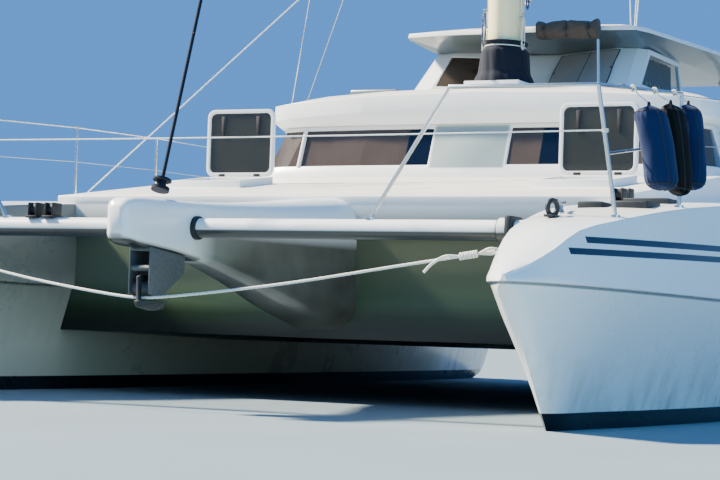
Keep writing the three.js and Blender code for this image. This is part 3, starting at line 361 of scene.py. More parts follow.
# Shader maths: a Wave is one socket of a material, and sums on it add their Math nodes
class Wave:
    def __init__(self, paint, socket):
        self.paint = paint
        self.socket = socket

    def sum(self, operation, first, second=0.0):
        return self.paint.node("ShaderNodeMath", dict(operation=operation), {0: first, 1: second})

    def __add__(self, other):
        return self.sum("ADD", self, other)

    def __radd__(self, other):
        return self.sum("ADD", other, self)

    def __sub__(self, other):
        return self.sum("SUBTRACT", self, other)

    def __rsub__(self, other):
        return self.sum("SUBTRACT", other, self)

    def __mul__(self, other):
        return self.sum("MULTIPLY", self, other)

    def __rmul__(self, other):
        return self.sum("MULTIPLY", other, self)

    def __truediv__(self, other):
        return self.sum("DIVIDE", self, other)

    def __abs__(self):
        return self.sum("ABSOLUTE", self)

    def above(self, edge, soft=0.004):
        # 1 where this is over the edge, 0 where it is under
        level = (self - edge) / soft + 0.5
        return self.paint.node(
            "ShaderNodeMapRange", dict(clamp=True), {0: level, 1: 0.0, 2: 1.0, 3: 0.0, 4: 1.0}
        )

    def below(self, edge, soft=0.004):
        return 1 - self.above(edge, soft)

    def within(self, low, high, soft=0.004):
        return self.above(low, soft) * self.below(high, soft)


def shade(code):
    # a colour written as six hex digits, as the shader wants it
    values = [int(code[i : i + 2], 16) / 255 for i in (0, 2, 4)]
    return (*[v / 12.92 if v <= 0.04045 else ((v + 0.055) / 1.055) ** 2.4 for v in values], 1)


class Paint:
    def __init__(self, name, **look):
        self.material = bpy.data.materials.new(name)
        self.material.use_nodes = True
        self.tree = self.material.node_tree
        self.shader = self.tree.nodes["Principled BSDF"]
        self.coordinates = None
        self.split = None
        self.apply(**look)

    def feed(self, socket, value):
        if isinstance(value, Wave):
            self.tree.links.new(value.socket, socket)
        else:
            socket.default_value = value

    def node(self, kind, settings=None, values=None, out=0):
        # any node: its settings first, then the values or links of its sockets
        made = self.tree.nodes.new(kind)
        for key, value in (settings or {}).items():
            setattr(made, key, value)
        for key, value in (values or {}).items():
            self.feed(made.inputs[key], value)
        return Wave(self, made.outputs[out])

    def apply(self, **look):
        names = dict(
            colour="Base Color", roughness="Roughness", metal="Metallic", alpha="Alpha", normal="Normal",
            coat="Coat Weight", coatRoughness="Coat Roughness", sheen="Sheen Weight",
            sheenRoughness="Sheen Roughness", specular="Specular IOR Level",
        )
        for key, value in look.items():
            if isinstance(value, str):
                value = shade(value)
            self.feed(self.shader.inputs[names[key]], value)
        return self

    def where(self):
        if not self.coordinates:
            self.coordinates = self.node("ShaderNodeTexCoord", out=3)
        return self.coordinates

    def axis(self, index):
        if not self.split:
            self.split = self.node("ShaderNodeSeparateXYZ", values={0: self.where()})
        return Wave(self, self.split.socket.node.outputs[index])

    def facing(self, index):
        # the surface's own direction, along X, Y or Z of the piece
        normal = self.node("ShaderNodeTexCoord", out=1)
        parts = self.node("ShaderNodeSeparateXYZ", values={0: normal})
        return Wave(self, parts.socket.node.outputs[index])

    def stretched(self, scale):
        return self.node("ShaderNodeMapping", dict(vector_type="POINT"), {0: self.where(), 3: scale})

    def noise(self, scale, detail=3.0, stretch=None):
        source = self.stretched(stretch) if stretch else self.where()
        values = {"Vector": source, "Scale": scale, "Detail": detail, "Roughness": 0.55}
        return self.node("ShaderNodeTexNoise", None, values)

    def mix(self, mask, low, high):
        low = shade(low) if isinstance(low, str) else low
        high = shade(high) if isinstance(high, str) else high
        return self.node("ShaderNodeMix", dict(data_type="RGBA"), {0: mask, 6: low, 7: high}, out=2)

    def relief(self, height, strength, distance):
        bump = self.node(
            "ShaderNodeBump", None, {"Strength": strength, "Distance": distance, "Height": height}
        )
        return self.apply(normal=bump)


# White gelcoat
gelcoat = dict(
    white="f3f4f0", cool="dde2e4", mottle=0.9, speckle=7.0, peel=(55.0, 240.0), coat=0.35,
    tread="c9cbc6", treadWorn="e4dfd0", treadGrain=420.0,
)


def whiteSkin(name, rough=0.3):
    # moulded gelcoat: faint mottling, dull weathered patches and a fine orange peel
    paint = Paint(name, coat=gelcoat["coat"], coatRoughness=0.12, specular=0.5)
    patches = paint.noise(gelcoat["mottle"], 4)
    fine = paint.noise(gelcoat["speckle"], 3)
    colour = paint.mix(patches * 0.55 + fine * 0.2, gelcoat["white"], gelcoat["cool"])
    paint.apply(roughness=patches * 0.16 + fine * 0.08 + (rough - 0.1))
    coarse, close = gelcoat["peel"]
    paint.relief(paint.noise(coarse, 2) * 0.6 + paint.noise(close, 1) * 0.2, 0.035, 0.002)
    return paint, colour


hullLook = dict(
    # each stripe: height at the bow, rise for each metre aft, width, forward end
    stripe="0b1122", stripes=[(1.136, 0.019, 0.040, 5.53), (1.064, 0.019, 0.040, 5.73)],
    stripeRise=0.095, stripeEnd=-4.95,
    seam="3c464b", seamBowZ=0.872, seamFall=0.012, seamLowZ=0.842,
    inboardShadeTop="50564a", inboardShadeLow="c4c9b4", inboardShadeX=(-4.6, 5.45),
    stain="9a9478", bootTop="07090d", bootTopZ=0.108, antifoul="10161f", slime="1d2a2a", bootLowZ=-0.06,
)


def hullPaint():
    paint, colour = whiteSkin("hull_gelcoat", rough=0.27)
    x, y, z = paint.axis(0), paint.axis(1), paint.axis(2)
    # runs of dirt, stronger towards the water
    streaks = paint.noise(3.0, 4, stretch=(3.2, 3.2, 0.25))
    low = (1 - (z - hullLook["bootTopZ"]) / 0.55).above(0.5, 1.0)
    colour = paint.mix((low * (streaks - 0.35)).above(0.22, 0.35) * 0.55, colour, hullLook["stain"])
    aft = boat["bowX"] - x
    outboard = abs(y).above(boat["hullY"], 0.01)
    for base, slope, width, start in hullLook["stripes"]:
        span = x.within(hullLook["stripeEnd"], start, 0.004) * outboard
        level = z - aft.sum("MINIMUM", aft * slope, hullLook["stripeRise"])
        colour = paint.mix(
            level.within(base - width / 2, base + width / 2) * span, colour, hullLook["stripe"]
        )
    # painted shade on the sides that face each other over the tunnel, darker towards the top
    inboard = (
        abs(y).below(boat["hullY"], 0.04) * x.within(*hullLook["inboardShadeX"], 0.5)
        * paint.facing(2).below(0.6, 0.3)
    )
    inboard = inboard * abs(paint.facing(0)).below(0.8, 0.2)
    secondTone = paint.mix((z - 0.45) / 0.6 + streaks * 0.3, hullLook["inboardShadeLow"], hullLook["inboardShadeTop"])
    colour = paint.mix(inboard * 0.9, colour, secondTone)
    # the seam under the ledge holds shade and dirt
    falling = hullLook["seamBowZ"] - aft * hullLook["seamFall"]
    seam = z - falling.sum("MAXIMUM", falling, hullLook["seamLowZ"])
    colour = paint.mix(seam.within(-0.012, 0.006, 0.006) * 0.75, colour, hullLook["seam"])
    colour = paint.mix(z.below(hullLook["bootTopZ"]), colour, hullLook["bootTop"])
    bottom = paint.mix(paint.noise(5.0, 4), hullLook["antifoul"], hullLook["slime"])
    colour = paint.mix(z.below(hullLook["bootLowZ"]), colour, bottom)
    return paint.apply(colour=colour).material


# Painted shade on the front wall under the foredeck, by height, with a painted reflection of the water low
# down, and painted shade on the panel between the saloon's front windows
wallShade = dict(
    top="5a614a", topZ=0.95, middle="3b4e38", low="10270f", lowZ=0.71, foot="030905", footZ=0.60,
    far="586552", farY=0.7, farZ=0.85, edgeZ=1.42, aftX=-4.7,
)
panelShade = dict(colour="758a8c", half=0.36, foreX=-0.4, z=(2.03, 2.43))


def deckPaint(name="deck_gelcoat", wall=False, panel=False, undersideShade=""):
    paint, colour = whiteSkin(name)
    x, y, z = paint.axis(0), paint.axis(1), paint.axis(2)
    if undersideShade:
        # painted shade: faces that look down take this darker colour
        colour = paint.mix(paint.facing(2).below(-0.22, 0.2), colour, undersideShade)
    if panel:
        # painted shade on the panel between the front windows
        inset = (
            abs(y).below(panelShade["half"], 0.03) * x.above(panelShade["foreX"])
            * z.within(*panelShade["z"], 0.02)
        )
        colour = paint.mix(inset * 0.9, colour, panelShade["colour"])
    if wall:
        # painted shade on the front wall and on the faces below it, darker and greener towards the water,
        # with a painted reflection of the water low down
        level = z + paint.noise(1.3, 4) * 0.08 - 0.04
        dull = paint.mix(level.above(wallShade["topZ"], 0.3), wallShade["middle"], wallShade["top"])
        # painted light: the starboard part of the wall is lighter, to lift the shadow that the pod and the
        # starboard hull cast on it
        far = (y * -1).above(wallShade["farY"], 1.2) * level.above(wallShade["farZ"], 0.14)
        dull = paint.mix(far, dull, wallShade["far"])
        dull = paint.mix(level.below(wallShade["lowZ"], 0.1), dull, wallShade["low"])
        dull = paint.mix(level.below(wallShade["footZ"], 0.1), dull, wallShade["foot"])
        under = (
            z.below(wallShade["edgeZ"], 0.16) * paint.facing(2).below(0.5, 0.2)
            * x.above(wallShade["aftX"], 0.2)
        )
        colour = paint.mix(under, colour, dull)
        paint.apply(coat=gelcoat["coat"] - under * 0.34)
    # what faces up is trodden and has a gripping grain
    up = paint.facing(2).above(0.85, 0.06)
    grip = paint.noise(gelcoat["treadGrain"], 1)
    tread = paint.mix(paint.noise(2.2, 5), gelcoat["tread"], gelcoat["treadWorn"])
    colour = paint.mix(up * 0.85, colour, tread)
    paint.apply(roughness=0.3 + up * 0.42)
    paint.relief(grip * up + paint.noise(60.0, 2) * 0.1, 0.3, 0.0012)
    return paint.apply(colour=colour).material


podShade = dict(
    aft="3d4035", fore="646b5f", foreX=4.45, foot="24271f", footZ=0.98, lowZ=1.21, shadeEndX=5.05,
    mouth="0b0d0c", mouthX=5.02, mouthHalf=0.098,
)


def podPaint():
    # white above, painted shade on the low part of the pod, darker aft and near its foot
    paint, colour = whiteSkin("pod_gelcoat")
    x, y, z = paint.axis(0), paint.axis(1), paint.axis(2)
    low = z.below(podShade["lowZ"], 0.1) * x.below(podShade["shadeEndX"], 0.3) * (paint.noise(2.4, 4) * 0.2 + 0.84)
    dull = paint.mix((x - podShade["foreX"]) / 0.5, podShade["aft"], podShade["fore"])
    dull = paint.mix(z.below(podShade["footZ"], 0.14), dull, podShade["foot"])
    colour = paint.mix(low, colour, dull)
    # painted shade: the faces that look down at the nose, over the anchor roller, are black
    mouth = x.above(podShade["mouthX"], 0.04) * abs(y).below(podShade["mouthHalf"], 0.02)
    mouth = mouth * paint.facing(2).below(-0.5, 0.3)
    return paint.apply(colour=paint.mix(mouth, colour, podShade["mouth"])).material


def plainWhite(name="moulded_gelcoat"):
    paint, colour = whiteSkin(name)
    return paint.apply(colour=colour).material


def beamPaint():
    paint, colour = whiteSkin("beam_paint", rough=0.34)
    scuff = paint.noise(9.0, 4, stretch=(1, 0.2, 1)).above(0.62, 0.2) * 0.35
    colour = paint.mix(scuff, colour, "8f9390")
    # painted shade: the faces that look down go near-black
    paintedUnderShade = paint.facing(2).below(-0.2, 0.16) * 0.97
    return paint.apply(colour=paint.mix(paintedUnderShade, colour, "1a1b18")).material


# dark blinds behind the inboard ends of the front windows, each from one Y to another
blinds = dict(colour="080d1c", starboard=(-0.62, 0.0), port=(0.68, 1.0), foreX=0.0)


def glassPaint(name, tint, alpha, rough, haze="3a332d", blind=False):
    paint = Paint(name, alpha=alpha, specular=0.45, coat=0.15, coatRoughness=0.05)
    smear = paint.noise(2.6, 4, stretch=(1, 1, 0.4))
    colour = paint.mix(smear, tint, haze)
    if blind:
        y = paint.axis(1)
        drawn = y.within(*blinds["starboard"], 0.01) + y.within(*blinds["port"], 0.01)
        colour = paint.mix(drawn * paint.axis(0).above(blinds["foreX"]), colour, blinds["colour"])
    paint.apply(colour=colour, roughness=rough + smear * 0.1)
    return paint.material


def steelPaint(name="stainless", tint="c3c7ca", rough=0.16):
    paint = Paint(name, metal=1.0)
    tea = paint.noise(14.0, 5)
    paint.apply(colour=paint.mix(tea.above(0.62, 0.3) * 0.4, tint, "8c7d66"), roughness=tea * 0.2 + rough)
    paint.relief(paint.noise(160.0, 2), 0.03, 0.0005)
    return paint.material


def sparPaint():
    paint = Paint("spar_paint", coat=0.25, coatRoughness=0.15)
    streak = paint.noise(4.0, 4, stretch=(6, 6, 0.3))
    paint.apply(colour=paint.mix(streak, "fbf0bc", "eee1aa"), roughness=streak * 0.15 + 0.3)
    paint.relief(paint.noise(70.0, 2), 0.03, 0.001)
    return paint.material


weave = 700.0  # threads of canvas for each metre, as the sine sees them


def canvasPaint(name, tint, secondTone):
    # woven acrylic: crossed ribs, faded patches and creases
    paint = Paint(name, sheen=0.08, sheenRoughness=0.5, specular=0.2)
    x, y, z = (paint.axis(i) for i in range(3))
    ribs = (x * weave + y * weave * 0.9).sum("SINE", x * weave + y * weave * 0.9)
    cross = (z * weave).sum("SINE", z * weave)
    fade = paint.noise(2.5, 5)
    dust = paint.noise(22.0, 3)
    paint.apply(colour=paint.mix(fade * 0.7 + dust * 0.25, tint, secondTone), roughness=0.78 + dust * 0.15)
    return paint.relief((ribs + cross) * 0.12 + paint.noise(11.0, 4) * 0.9, 0.35, 0.003).material


def rubberPaint(name="black_rubber", tint="101113", secondTone="2b2d2f", specular=0.35):
    paint = Paint(name, specular=specular)
    worn = paint.noise(18.0, 4)
    paint.apply(colour=paint.mix(worn, tint, secondTone), roughness=worn * 0.25 + 0.5)
    return paint.relief(paint.noise(90.0, 3), 0.12, 0.001).material


def ropePaint(name, tint, fleck, twist=420.0):
    # laid fibre: slanting ridges and a few darker yarns
    paint = Paint(name, sheen=0.2, specular=0.2)
    run = (paint.axis(0) + paint.axis(1) * 1.3 + paint.axis(2) * 0.8) * twist
    ridge = run.sum("SINE", run)
    yarn = paint.noise(95.0, 3)
    paint.apply(colour=paint.mix(yarn.above(0.58, 0.15) * 0.6, tint, fleck), roughness=0.8 + yarn * 0.15)
    return paint.relief(ridge * 0.5 + yarn, 0.5, 0.0015).material


def metalPaint(name, tint, dull, rough, metal=0.9):
    paint = Paint(name, metal=metal)
    pits = paint.noise(38.0, 4)
    paint.apply(colour=paint.mix(pits, tint, dull), roughness=pits * 0.25 + rough)
    return paint.relief(pits, 0.2, 0.0015).material


def bottomPaint():
    paint = Paint("antifouling", specular=0.3)
    slime = paint.noise(4.0, 5)
    paint.apply(colour=paint.mix(slime, hullLook["antifoul"], "22302c"), roughness=0.75 + slime * 0.2)
    return paint.relief(paint.noise(70.0, 3), 0.15, 0.001).material


teakSlats = 16.0  # for each metre of breadth


def teakPaint():
    paint = Paint("teak_slats")
    grain = paint.noise(6.0, 5, stretch=(0.6, 9, 9))
    across = paint.axis(1) * teakSlats
    seam = (abs(across.sum("FRACT", across) - 0.5)).above(0.46, 0.02)
    colour = paint.mix(seam, paint.mix(grain, "8b6a45", "b39468"), "1a1714")
    return paint.apply(colour=colour, roughness=0.6 + grain * 0.2).relief(grain - seam, 0.2, 0.001).material


finish = dict(
    hull=hullPaint(),
    deck=deckPaint(),
    saloon=deckPaint("saloon_gelcoat", panel=True),
    roof=deckPaint("roof_gelcoat", undersideShade="4f5a60"),
    wall=deckPaint("bridge_gelcoat", wall=True),
    white=plainWhite(),
    beam=beamPaint(),
    pod=podPaint(),
    glass=glassPaint("tinted_glass", "2f2823", 0.95, 0.05, "544a42", blind=True),
    smoke=glassPaint("smoked_acrylic", "3a3a30", 0.86, 0.1),
    lid=glassPaint("lid_acrylic", "2b2a21", 0.93, 0.12, "403f34"),
    vinyl=glassPaint("clear_vinyl", "6a6358", 0.28, 0.3, "7d766a"),
    steel=steelPaint(),
    wire=steelPaint("rigging_wire", "a9adb1", 0.25),
    rail=steelPaint("rail_tube", "d4d8da", 0.14),
    spar=sparPaint(),
    navy=canvasPaint("navy_canvas", "080d18", "131c2e"),
    taupe=canvasPaint("taupe_canvas", "6b6660", "8a847b"),
    blue=canvasPaint("blue_cover", "02153a", "072650"),
    cushion=canvasPaint("seat_vinyl", "8d8778", "a19b8b"),
    cream=canvasPaint("cream_canvas", "b5a98a", "9c9178"),
    brown=canvasPaint("brown_canvas", "3d3630", "5a5148"),
    grey=canvasPaint("grey_canvas", "8f8c86", "aba7a0"),
    black=rubberPaint(),
    blackSoft=rubberPaint("black_cover", "060607", "101113", 0.12),
    rope=ropePaint("white_rope", "e8e8e0", "b9b8ac"),
    blueRope=ropePaint("blue_rope", "27436f", "cfd3d8"),
    net=ropePaint("net_cord", "c9ccca", "9fa4a2", 250.0),
    galvanised=metalPaint("galvanised", "8b9092", "6a6e70", 0.4),
    bronze=metalPaint("bronze", "9b7a3c", "6f6a44", 0.3, 1.0),
    alloy=metalPaint("grey_alloy", "a9adb0", "8d9194", 0.3),
    dark=metalPaint("dark_alloy", "2a2e30", "3a3f42", 0.45, 0.6),
    roller=metalPaint("roller_steel", "6a7072", "4a5053", 0.45, 0.5),
    bottom=bottomPaint(),
    teak=teakPaint(),
)
print("finishes mixed:", len(finish))


# Camera, light and floor
cameraPlace = dict(
    place=(16.98, 7.12, 0.6), heading=(-0.899, -0.438), pitch=2.39, roll=1.8,
    focalPixels=2040, pictureWidth=720, sensor=36, clipEnd=2000,
)


def makeCamera():
    level = Vector((*cameraPlace["heading"], 0)).normalized()
    pitch, roll = math.radians(cameraPlace["pitch"]), math.radians(cameraPlace["roll"])
    ahead = level * math.cos(pitch) + Vector((0, 0, math.sin(pitch)))
    right = ahead.cross(Vector((0, 0, 1))).normalized()
    up = right.cross(ahead)
    tiltRight = right * math.cos(roll) + up * math.sin(roll)
    tiltUp = up * math.cos(roll) - right * math.sin(roll)
    bpy.ops.object.camera_add(location=cameraPlace["place"])
    camera = bpy.context.object
    camera.name = "photoCamera"
    camera.rotation_euler = Matrix((tiltRight, tiltUp, -ahead)).transposed().to_euler()
    camera.data.sensor_width = cameraPlace["sensor"]
    camera.data.lens = cameraPlace["focalPixels"] / cameraPlace["pictureWidth"] * cameraPlace["sensor"]
    camera.data.clip_end = cameraPlace["clipEnd"]
    bpy.context.scene.camera = camera


lights = dict(
    sky=(0.12, 0.42, 1.08), skyStrength=0.85, sunColour=(1.0, 0.90, 0.72), sunStrength=20.0, sunAngle=6,
    sunFrom=(0.10, -0.74, 0.66),
    fillColour=(0.28, 0.73, 1.0), fillPower=1560, fillPlace=(15, 17, 3.6), fillAim=(4, 2, 1), fillSize=12,
    floorSize=900, floor="75858d", floorWorn="80909a",
)


def makeStudio():
    world = bpy.data.worlds.new("studioSky")
    world.use_nodes = True
    sky = world.node_tree.nodes["Background"].inputs
    sky["Color"].default_value = (*lights["sky"], 1)
    sky["Strength"].default_value = lights["skyStrength"]
    bpy.context.scene.world = world
    sunFrom = Vector(lights["sunFrom"])
    bpy.ops.object.light_add(type="SUN", rotation=sunFrom.to_track_quat("Z", "Y").to_euler())
    sun = bpy.context.object
    sun.name = "keyLight"
    sun.data.energy, sun.data.color = lights["sunStrength"], lights["sunColour"]
    sun.data.angle = math.radians(lights["sunAngle"])
    aim = Vector(lights["fillPlace"]) - Vector(lights["fillAim"])
    bpy.ops.object.light_add(
        type="AREA", location=lights["fillPlace"], rotation=aim.to_track_quat("Z", "Y").to_euler()
    )
    fill = bpy.context.object
    fill.name = "fillLight"
    fill.data.energy, fill.data.color = lights["fillPower"], lights["fillColour"]
    fill.data.size = lights["fillSize"]
    bpy.ops.mesh.primitive_plane_add(size=lights["floorSize"], location=(0, 0, 0))
    floor = bpy.context.object
    floor.name = "studioFloor"
    paint = Paint("studio_floor", specular=0.2)
    tone = paint.noise(0.6, 3)
    paint.apply(colour=paint.mix(tone, lights["floor"], lights["floorWorn"]), roughness=0.75)
    floor.data.materials.append(paint.material)


makeCamera()
makeStudio()
print("camera, light and floor set")


# Hulls: sections along the hull, s aft of the bow's tip. Half-breadths h, heights z
hullForm = dict(
    sections=[  # s, z keel, h bilge, z bilge, h water, z water, h chine, h deck, z deck, z middle
        (0, 0.868, 0.008, 0.872, 0.014, 0.878, 0.020, 0.012, 0.912, 0.918),
        (0.06, 0.812, 0.026, 0.822, 0.058, 0.838, 0.092, 0.052, 0.938, 0.950),
        (0.17, 0.688, 0.050, 0.715, 0.104, 0.785, 0.168, 0.108, 0.988, 1.006),
        (0.36, 0.470, 0.064, 0.530, 0.142, 0.670, 0.246, 0.182, 1.082, 1.110),
        (0.64, 0.140, 0.052, 0.240, 0.146, 0.500, 0.318, 0.228, 1.202, 1.236),
        (1.05, -0.270, 0.046, -0.140, 0.128, 0.220, 0.394, 0.305, 1.282, 1.302),
        (2.0, -0.480, 0.150, -0.330, 0.220, 0.060, 0.498, 0.462, 1.420, 1.440),
        (3.1, -0.540, 0.240, -0.400, 0.318, 0.030, 0.574, 0.556, 1.512, 1.534),
        (4.5, -0.560, 0.310, -0.420, 0.392, 0.020, 0.626, 0.620, 1.585, 1.611),
        (7.0, -0.560, 0.350, -0.420, 0.432, 0.020, 0.650, 0.648, 1.640, 1.668),
        (9.8, -0.500, 0.335, -0.370, 0.420, 0.020, 0.645, 0.640, 1.650, 1.680),
        (11.5, -0.260, 0.290, -0.170, 0.370, 0.030, 0.604, 0.600, 1.650, 1.676),
        (12.4, -0.020, 0.230, 0.020, 0.310, 0.100, 0.548, 0.544, 1.650, 1.670),
    ],
    chineBowZ=0.872, chineFall=0.012, chineLowZ=0.842, ledgeIn=0.022, ledgeUp=0.040, deckRound=0.012,
    steps=[(-5.0, 1.25), (-5.4, 0.85), (-5.8, 0.45)], stepHalf=0.9, pastStern=-7, pastDeck=4,
    stationsFore=[0, 0.012, 0.03, 0.06, 0.11, 0.17, 0.25, 0.36, 0.49, 0.64, 0.83, 1.05], stationStep=0.22,
)


def readRow(table, s):
    # a smooth reading between the rows, which never overshoots them
    i = 1
    while i < len(table) - 1 and table[i][0] < s:
        i += 1
    a, b = table[i - 1], table[i]
    before, after = table[max(i - 2, 0)], table[min(i + 1, len(table) - 1)]
    span = b[0] - a[0]
    t = min(max((s - a[0]) / span, 0), 1)
    t2, t3 = t * t, t * t * t
    values = []
    for k in range(len(a)):
        slope = (b[k] - a[k]) / span
        into = (a[k] - before[k]) / ((a[0] - before[0]) or 1)
        out = (after[k] - b[k]) / ((after[0] - b[0]) or 1)
        m0 = slope if i == 1 else (2 * into * slope / (into + slope) if into * slope > 0 else 0)
        m1 = slope if i == len(table) - 1 else (2 * out * slope / (out + slope) if out * slope > 0 else 0)
        values.append(
            (2 * t3 - 3 * t2 + 1) * a[k] + (t3 - 2 * t2 + t) * m0 * span
            + (3 * t2 - 2 * t3) * b[k] + (t3 - t2) * m1 * span
        )
    return values


def halfSection(s):
    # from the keel line up to the middle of the deck, as (half-breadth, height)
    _, zKeel, hBilge, zBilge, hWater, zWater, hChine, hDeck, zDeck, zMiddle = readRow(hullForm["sections"], s)
    zChine = max(hullForm["chineBowZ"] - hullForm["chineFall"] * s, hullForm["chineLowZ"])
    ledge = min(hullForm["ledgeIn"], hChine * 0.25)
    up = min(hullForm["ledgeUp"], (zDeck - zChine) * 0.3)
    lower = smoothLine(
        [(0, 0, zKeel), (hBilge, 0, zBilge), (hWater, 0, zWater), (hChine - ledge, 0, zChine)], 6
    )
    points = [(p.x, p.z) for p in lower]
    points += [
        (hChine - ledge * 0.1, zChine + up * 0.22), (hChine, zChine + up * 0.35),
        (hChine - 0.002, zChine + up)
    ]
    foot, edge = points[-1], (hDeck, zDeck - hullForm["deckRound"])
    belly = hChine * 0.02
    for k in range(1, 8):
        t = k / 7
        points.append(
            (foot[0] + (edge[0] - foot[0]) * t + belly * 4 * t * (1 - t), foot[1] + (edge[1] - foot[1]) * t)
        )
    inset = min(0.04, hDeck * 0.3)
    points += [
        (hDeck - 0.0015, zDeck - 0.005), (hDeck - 0.006, zDeck + 0.001), (hDeck - inset, zDeck + 0.008)
    ]
    shelf = points[-1]
    for k in range(1, 5):
        t = k / 4
        points.append((shelf[0] * (1 - t), shelf[1] + (zMiddle - shelf[1]) * math.sin(t * math.pi / 2)))
    return points


def hullStations():
    rows = list(hullForm["stationsFore"])
    while rows[-1] < boat["hullLength"] - 0.3:
        rows.append(rows[-1] + hullForm["stationStep"])
    return rows + [boat["hullLength"]]


def makeHull(side, sign):
    y = sign * boat["hullY"]
    stations = hullStations()
    halves = [halfSection(s) for s in stations]
    count = len(halves[0])

    def place(i, j):
        x = boat["bowX"] - stations[i]
        if j < count:
            return (x, y + halves[i][j][0], halves[i][j][1])
        k = 2 * (count - 1) - j
        return (x, y - halves[i][k][0], halves[i][k][1])

    hull = wrapSheet("hull_skin_" + side, len(stations) - 1, 2 * (count - 1), place)
    half = hullForm["stepHalf"]
    cutters = [
        block("step", (hullForm["pastStern"], y - half, z), (x, y + half, hullForm["pastDeck"]))
        for x, z in hullForm["steps"]
    ]
    cutAway(hull, *cutters)
    smooth(hull, 26)
    return settle(hull, "hull", "boat", ["hull_" + side])


for side, sign in sides:
    makeHull(side, sign)
print("hulls faired")


# The pod that carries the forestay and the anchor
podForm = dict(
    sections=[  # s forward of the front wall, half-breadth, z bottom, z top
        (0, 0.330, 0.560, 1.560), (0.6, 0.270, 0.690, 1.500), (1.3, 0.190, 0.870, 1.440),
        (2.0, 0.130, 1.010, 1.400), (2.56, 0.114, 1.060, 1.388), (2.72, 0.106, 1.068, 1.382),
        (2.81, 0.084, 1.092, 1.362), (2.85, 0.042, 1.150, 1.310),
    ],
    roundSide=0.62, roundHeight=0.36, cornerSteps=7, bodyLength=2.5, bodyStations=24,
    noseStations=[2.56, 2.62, 2.68, 2.72, 2.76, 2.79, 2.81, 2.825, 2.84, 2.85], seat=0.0003,
)


def podRing(s):
    _, half, bottom, top = readRow(podForm["sections"], s)
    corner = min(half * podForm["roundSide"], (top - bottom) * podForm["roundHeight"])
    steps = podForm["cornerSteps"]
    ringPoints = []
    for cy, cz, start in ((1, 0, -90), (1, 1, 0), (-1, 1, 90), (-1, 0, 180)):
        for k in range(steps + 1):
            a = math.radians(start + 90 * k / steps)
            centre = (cy * (half - corner), (top - corner) if cz else (bottom + corner))
            ringPoints.append((centre[0] + corner * math.cos(a), centre[1] + corner * math.sin(a)))
    return ringPoints


def makePod():
    count = podForm["bodyStations"]
    stations = [podForm["bodyLength"] * k / count for k in range(count + 1)] + podForm["noseStations"]
    rings = [podRing(s) for s in stations]

    def place(i, j):
        y, z = rings[i][j % len(rings[0])]
        return (boat["frontWallX"] + podForm["seat"] + stations[i], y, z)

    pod = wrapSheet("pod_skin", len(stations) - 1, len(rings[0]), place)
    smooth(pod, 40)
    return pod


settle(makePod(), "pod", "boat", ["nacelle"])
print("pod faired")


# Moulded pieces: the node's shape with rounded edges, as finish and width of the round
moulded = dict(
    bridge_deck=("wall", 0.016), saloon_walls=("saloon", 0.012), saloon_roof=("deck", 0.022),
    doghouse_frame=("white", 0.012), hard_top=("roof", 0.012), helm_console=("white", 0.03),
)
for node, (look, width) in moulded.items():
    reskin(node, look, 30, width, 3)
print("mouldings rounded")

# spars, rails and foils: finish and the width of the rounded edge
plain = dict(
    crossbeam_port=("beam", 0.0), crossbeam_starboard=("beam", 0.0), bow_roller=("roller", 0.002),
    anchor=("dark", 0.004), mast=("spar", 0.0), boom=("spar", 0.0), keel_port=("bottom", 0.01),
    keel_starboard=("bottom", 0.01), furler_foil=("navy", 0.0),
)
for node in frame["nodes"]:
    if node.startswith(("rudder", "saildrive")):
        plain[node] = ("bottom", 0.004)
    if node.startswith("propeller"):
        plain[node] = ("bronze", 0.0)
    if node.startswith(("cap_shroud", "guard_rail", "pulpit", "pushpit", "steering")):
        plain[node] = ("rail", 0.0)
for node, (look, width) in plain.items():
    reskin(node, look, 40, width, 2)
print("spars, rails and foils smoothed")


# Where the deck of a hull lies
def deckAt(x, y):
    # height of the hull's deck at a place, from the same sections as the hull
    *_, hDeck, zDeck, zMiddle = readRow(hullForm["sections"], boat["bowX"] - x)
    off = abs(abs(y) - boat["hullY"])
    shelf = hDeck - min(0.04, hDeck * 0.3)
    t = max(0.0, 1 - off / shelf)
    return zDeck + 0.008 + (zMiddle - zDeck - 0.008) * math.sin(t * math.pi / 2)


def hitch(name, centre, along, radius, cord, turns):
    # turns of rope laid side by side round a bar
    along = Vector(along).normalized()
    coils = []
    for k in range(turns):
        place = Vector(centre) + along * cord * 2 * (k - (turns - 1) / 2)
        coils.append(ring(name + str(k), place, along + Vector((0.0, 0.0, 0.12)), radius, cord, 20, 8))
    return joined(name, coils)


def twisted(name, path, strand, pitch, step=0.012, strands=3):
    # laid rope: strands wound round one another along the path
    path = [Vector(p) for p in path]
    lengths = [0.0]
    for a, b in zip(path, path[1:]):
        lengths.append(lengths[-1] + (b - a).length)
    count = int(lengths[-1] / step)
    middle, frames = [], []
    k = 0
    side = Vector((0, 0, 1))
    for i in range(count + 1):
        at = lengths[-1] * i / count
        while k < len(path) - 2 and lengths[k + 1] < at:
            k += 1
        ahead = (path[k + 1] - path[k]).normalized()
        middle.append(path[k] + ahead * (at - lengths[k]))
        side = (side - ahead * side.dot(ahead)).normalized()
        frames.append((side.copy(), ahead.cross(side)))
    wound = []
    for s in range(strands):
        line = []
        for i, (point, (u, w)) in enumerate(zip(middle, frames)):
            a = 2 * math.pi * (s / strands + i * step / pitch)
            line.append(point + (u * math.cos(a) + w * math.sin(a)) * strand * 1.08)
        wound.append(tube(name + str(s), line, strand, 6))
    return joined(name, wound)


# Trampolines
net = dict(
    aftX=3.16, foreX=5.0, innerAft=0.345, innerFore=0.165, outerAft=2.175, outerFore=2.40, z=1.272, sag=0.022,
    cells=40, thick=0.0055, rope=0.0095, lacing=0.0032, railY=(0.36, 2.16), rail=0.008,
)


def netEdge(t):
    # the net's inner and outer edges at a part t of the way forward
    inner = net["innerAft"] + (net["innerFore"] - net["innerAft"]) * t
    outer = net["outerAft"] + (net["outerFore"] - net["outerAft"]) * math.sin(t * math.pi / 2)
    return inner, outer


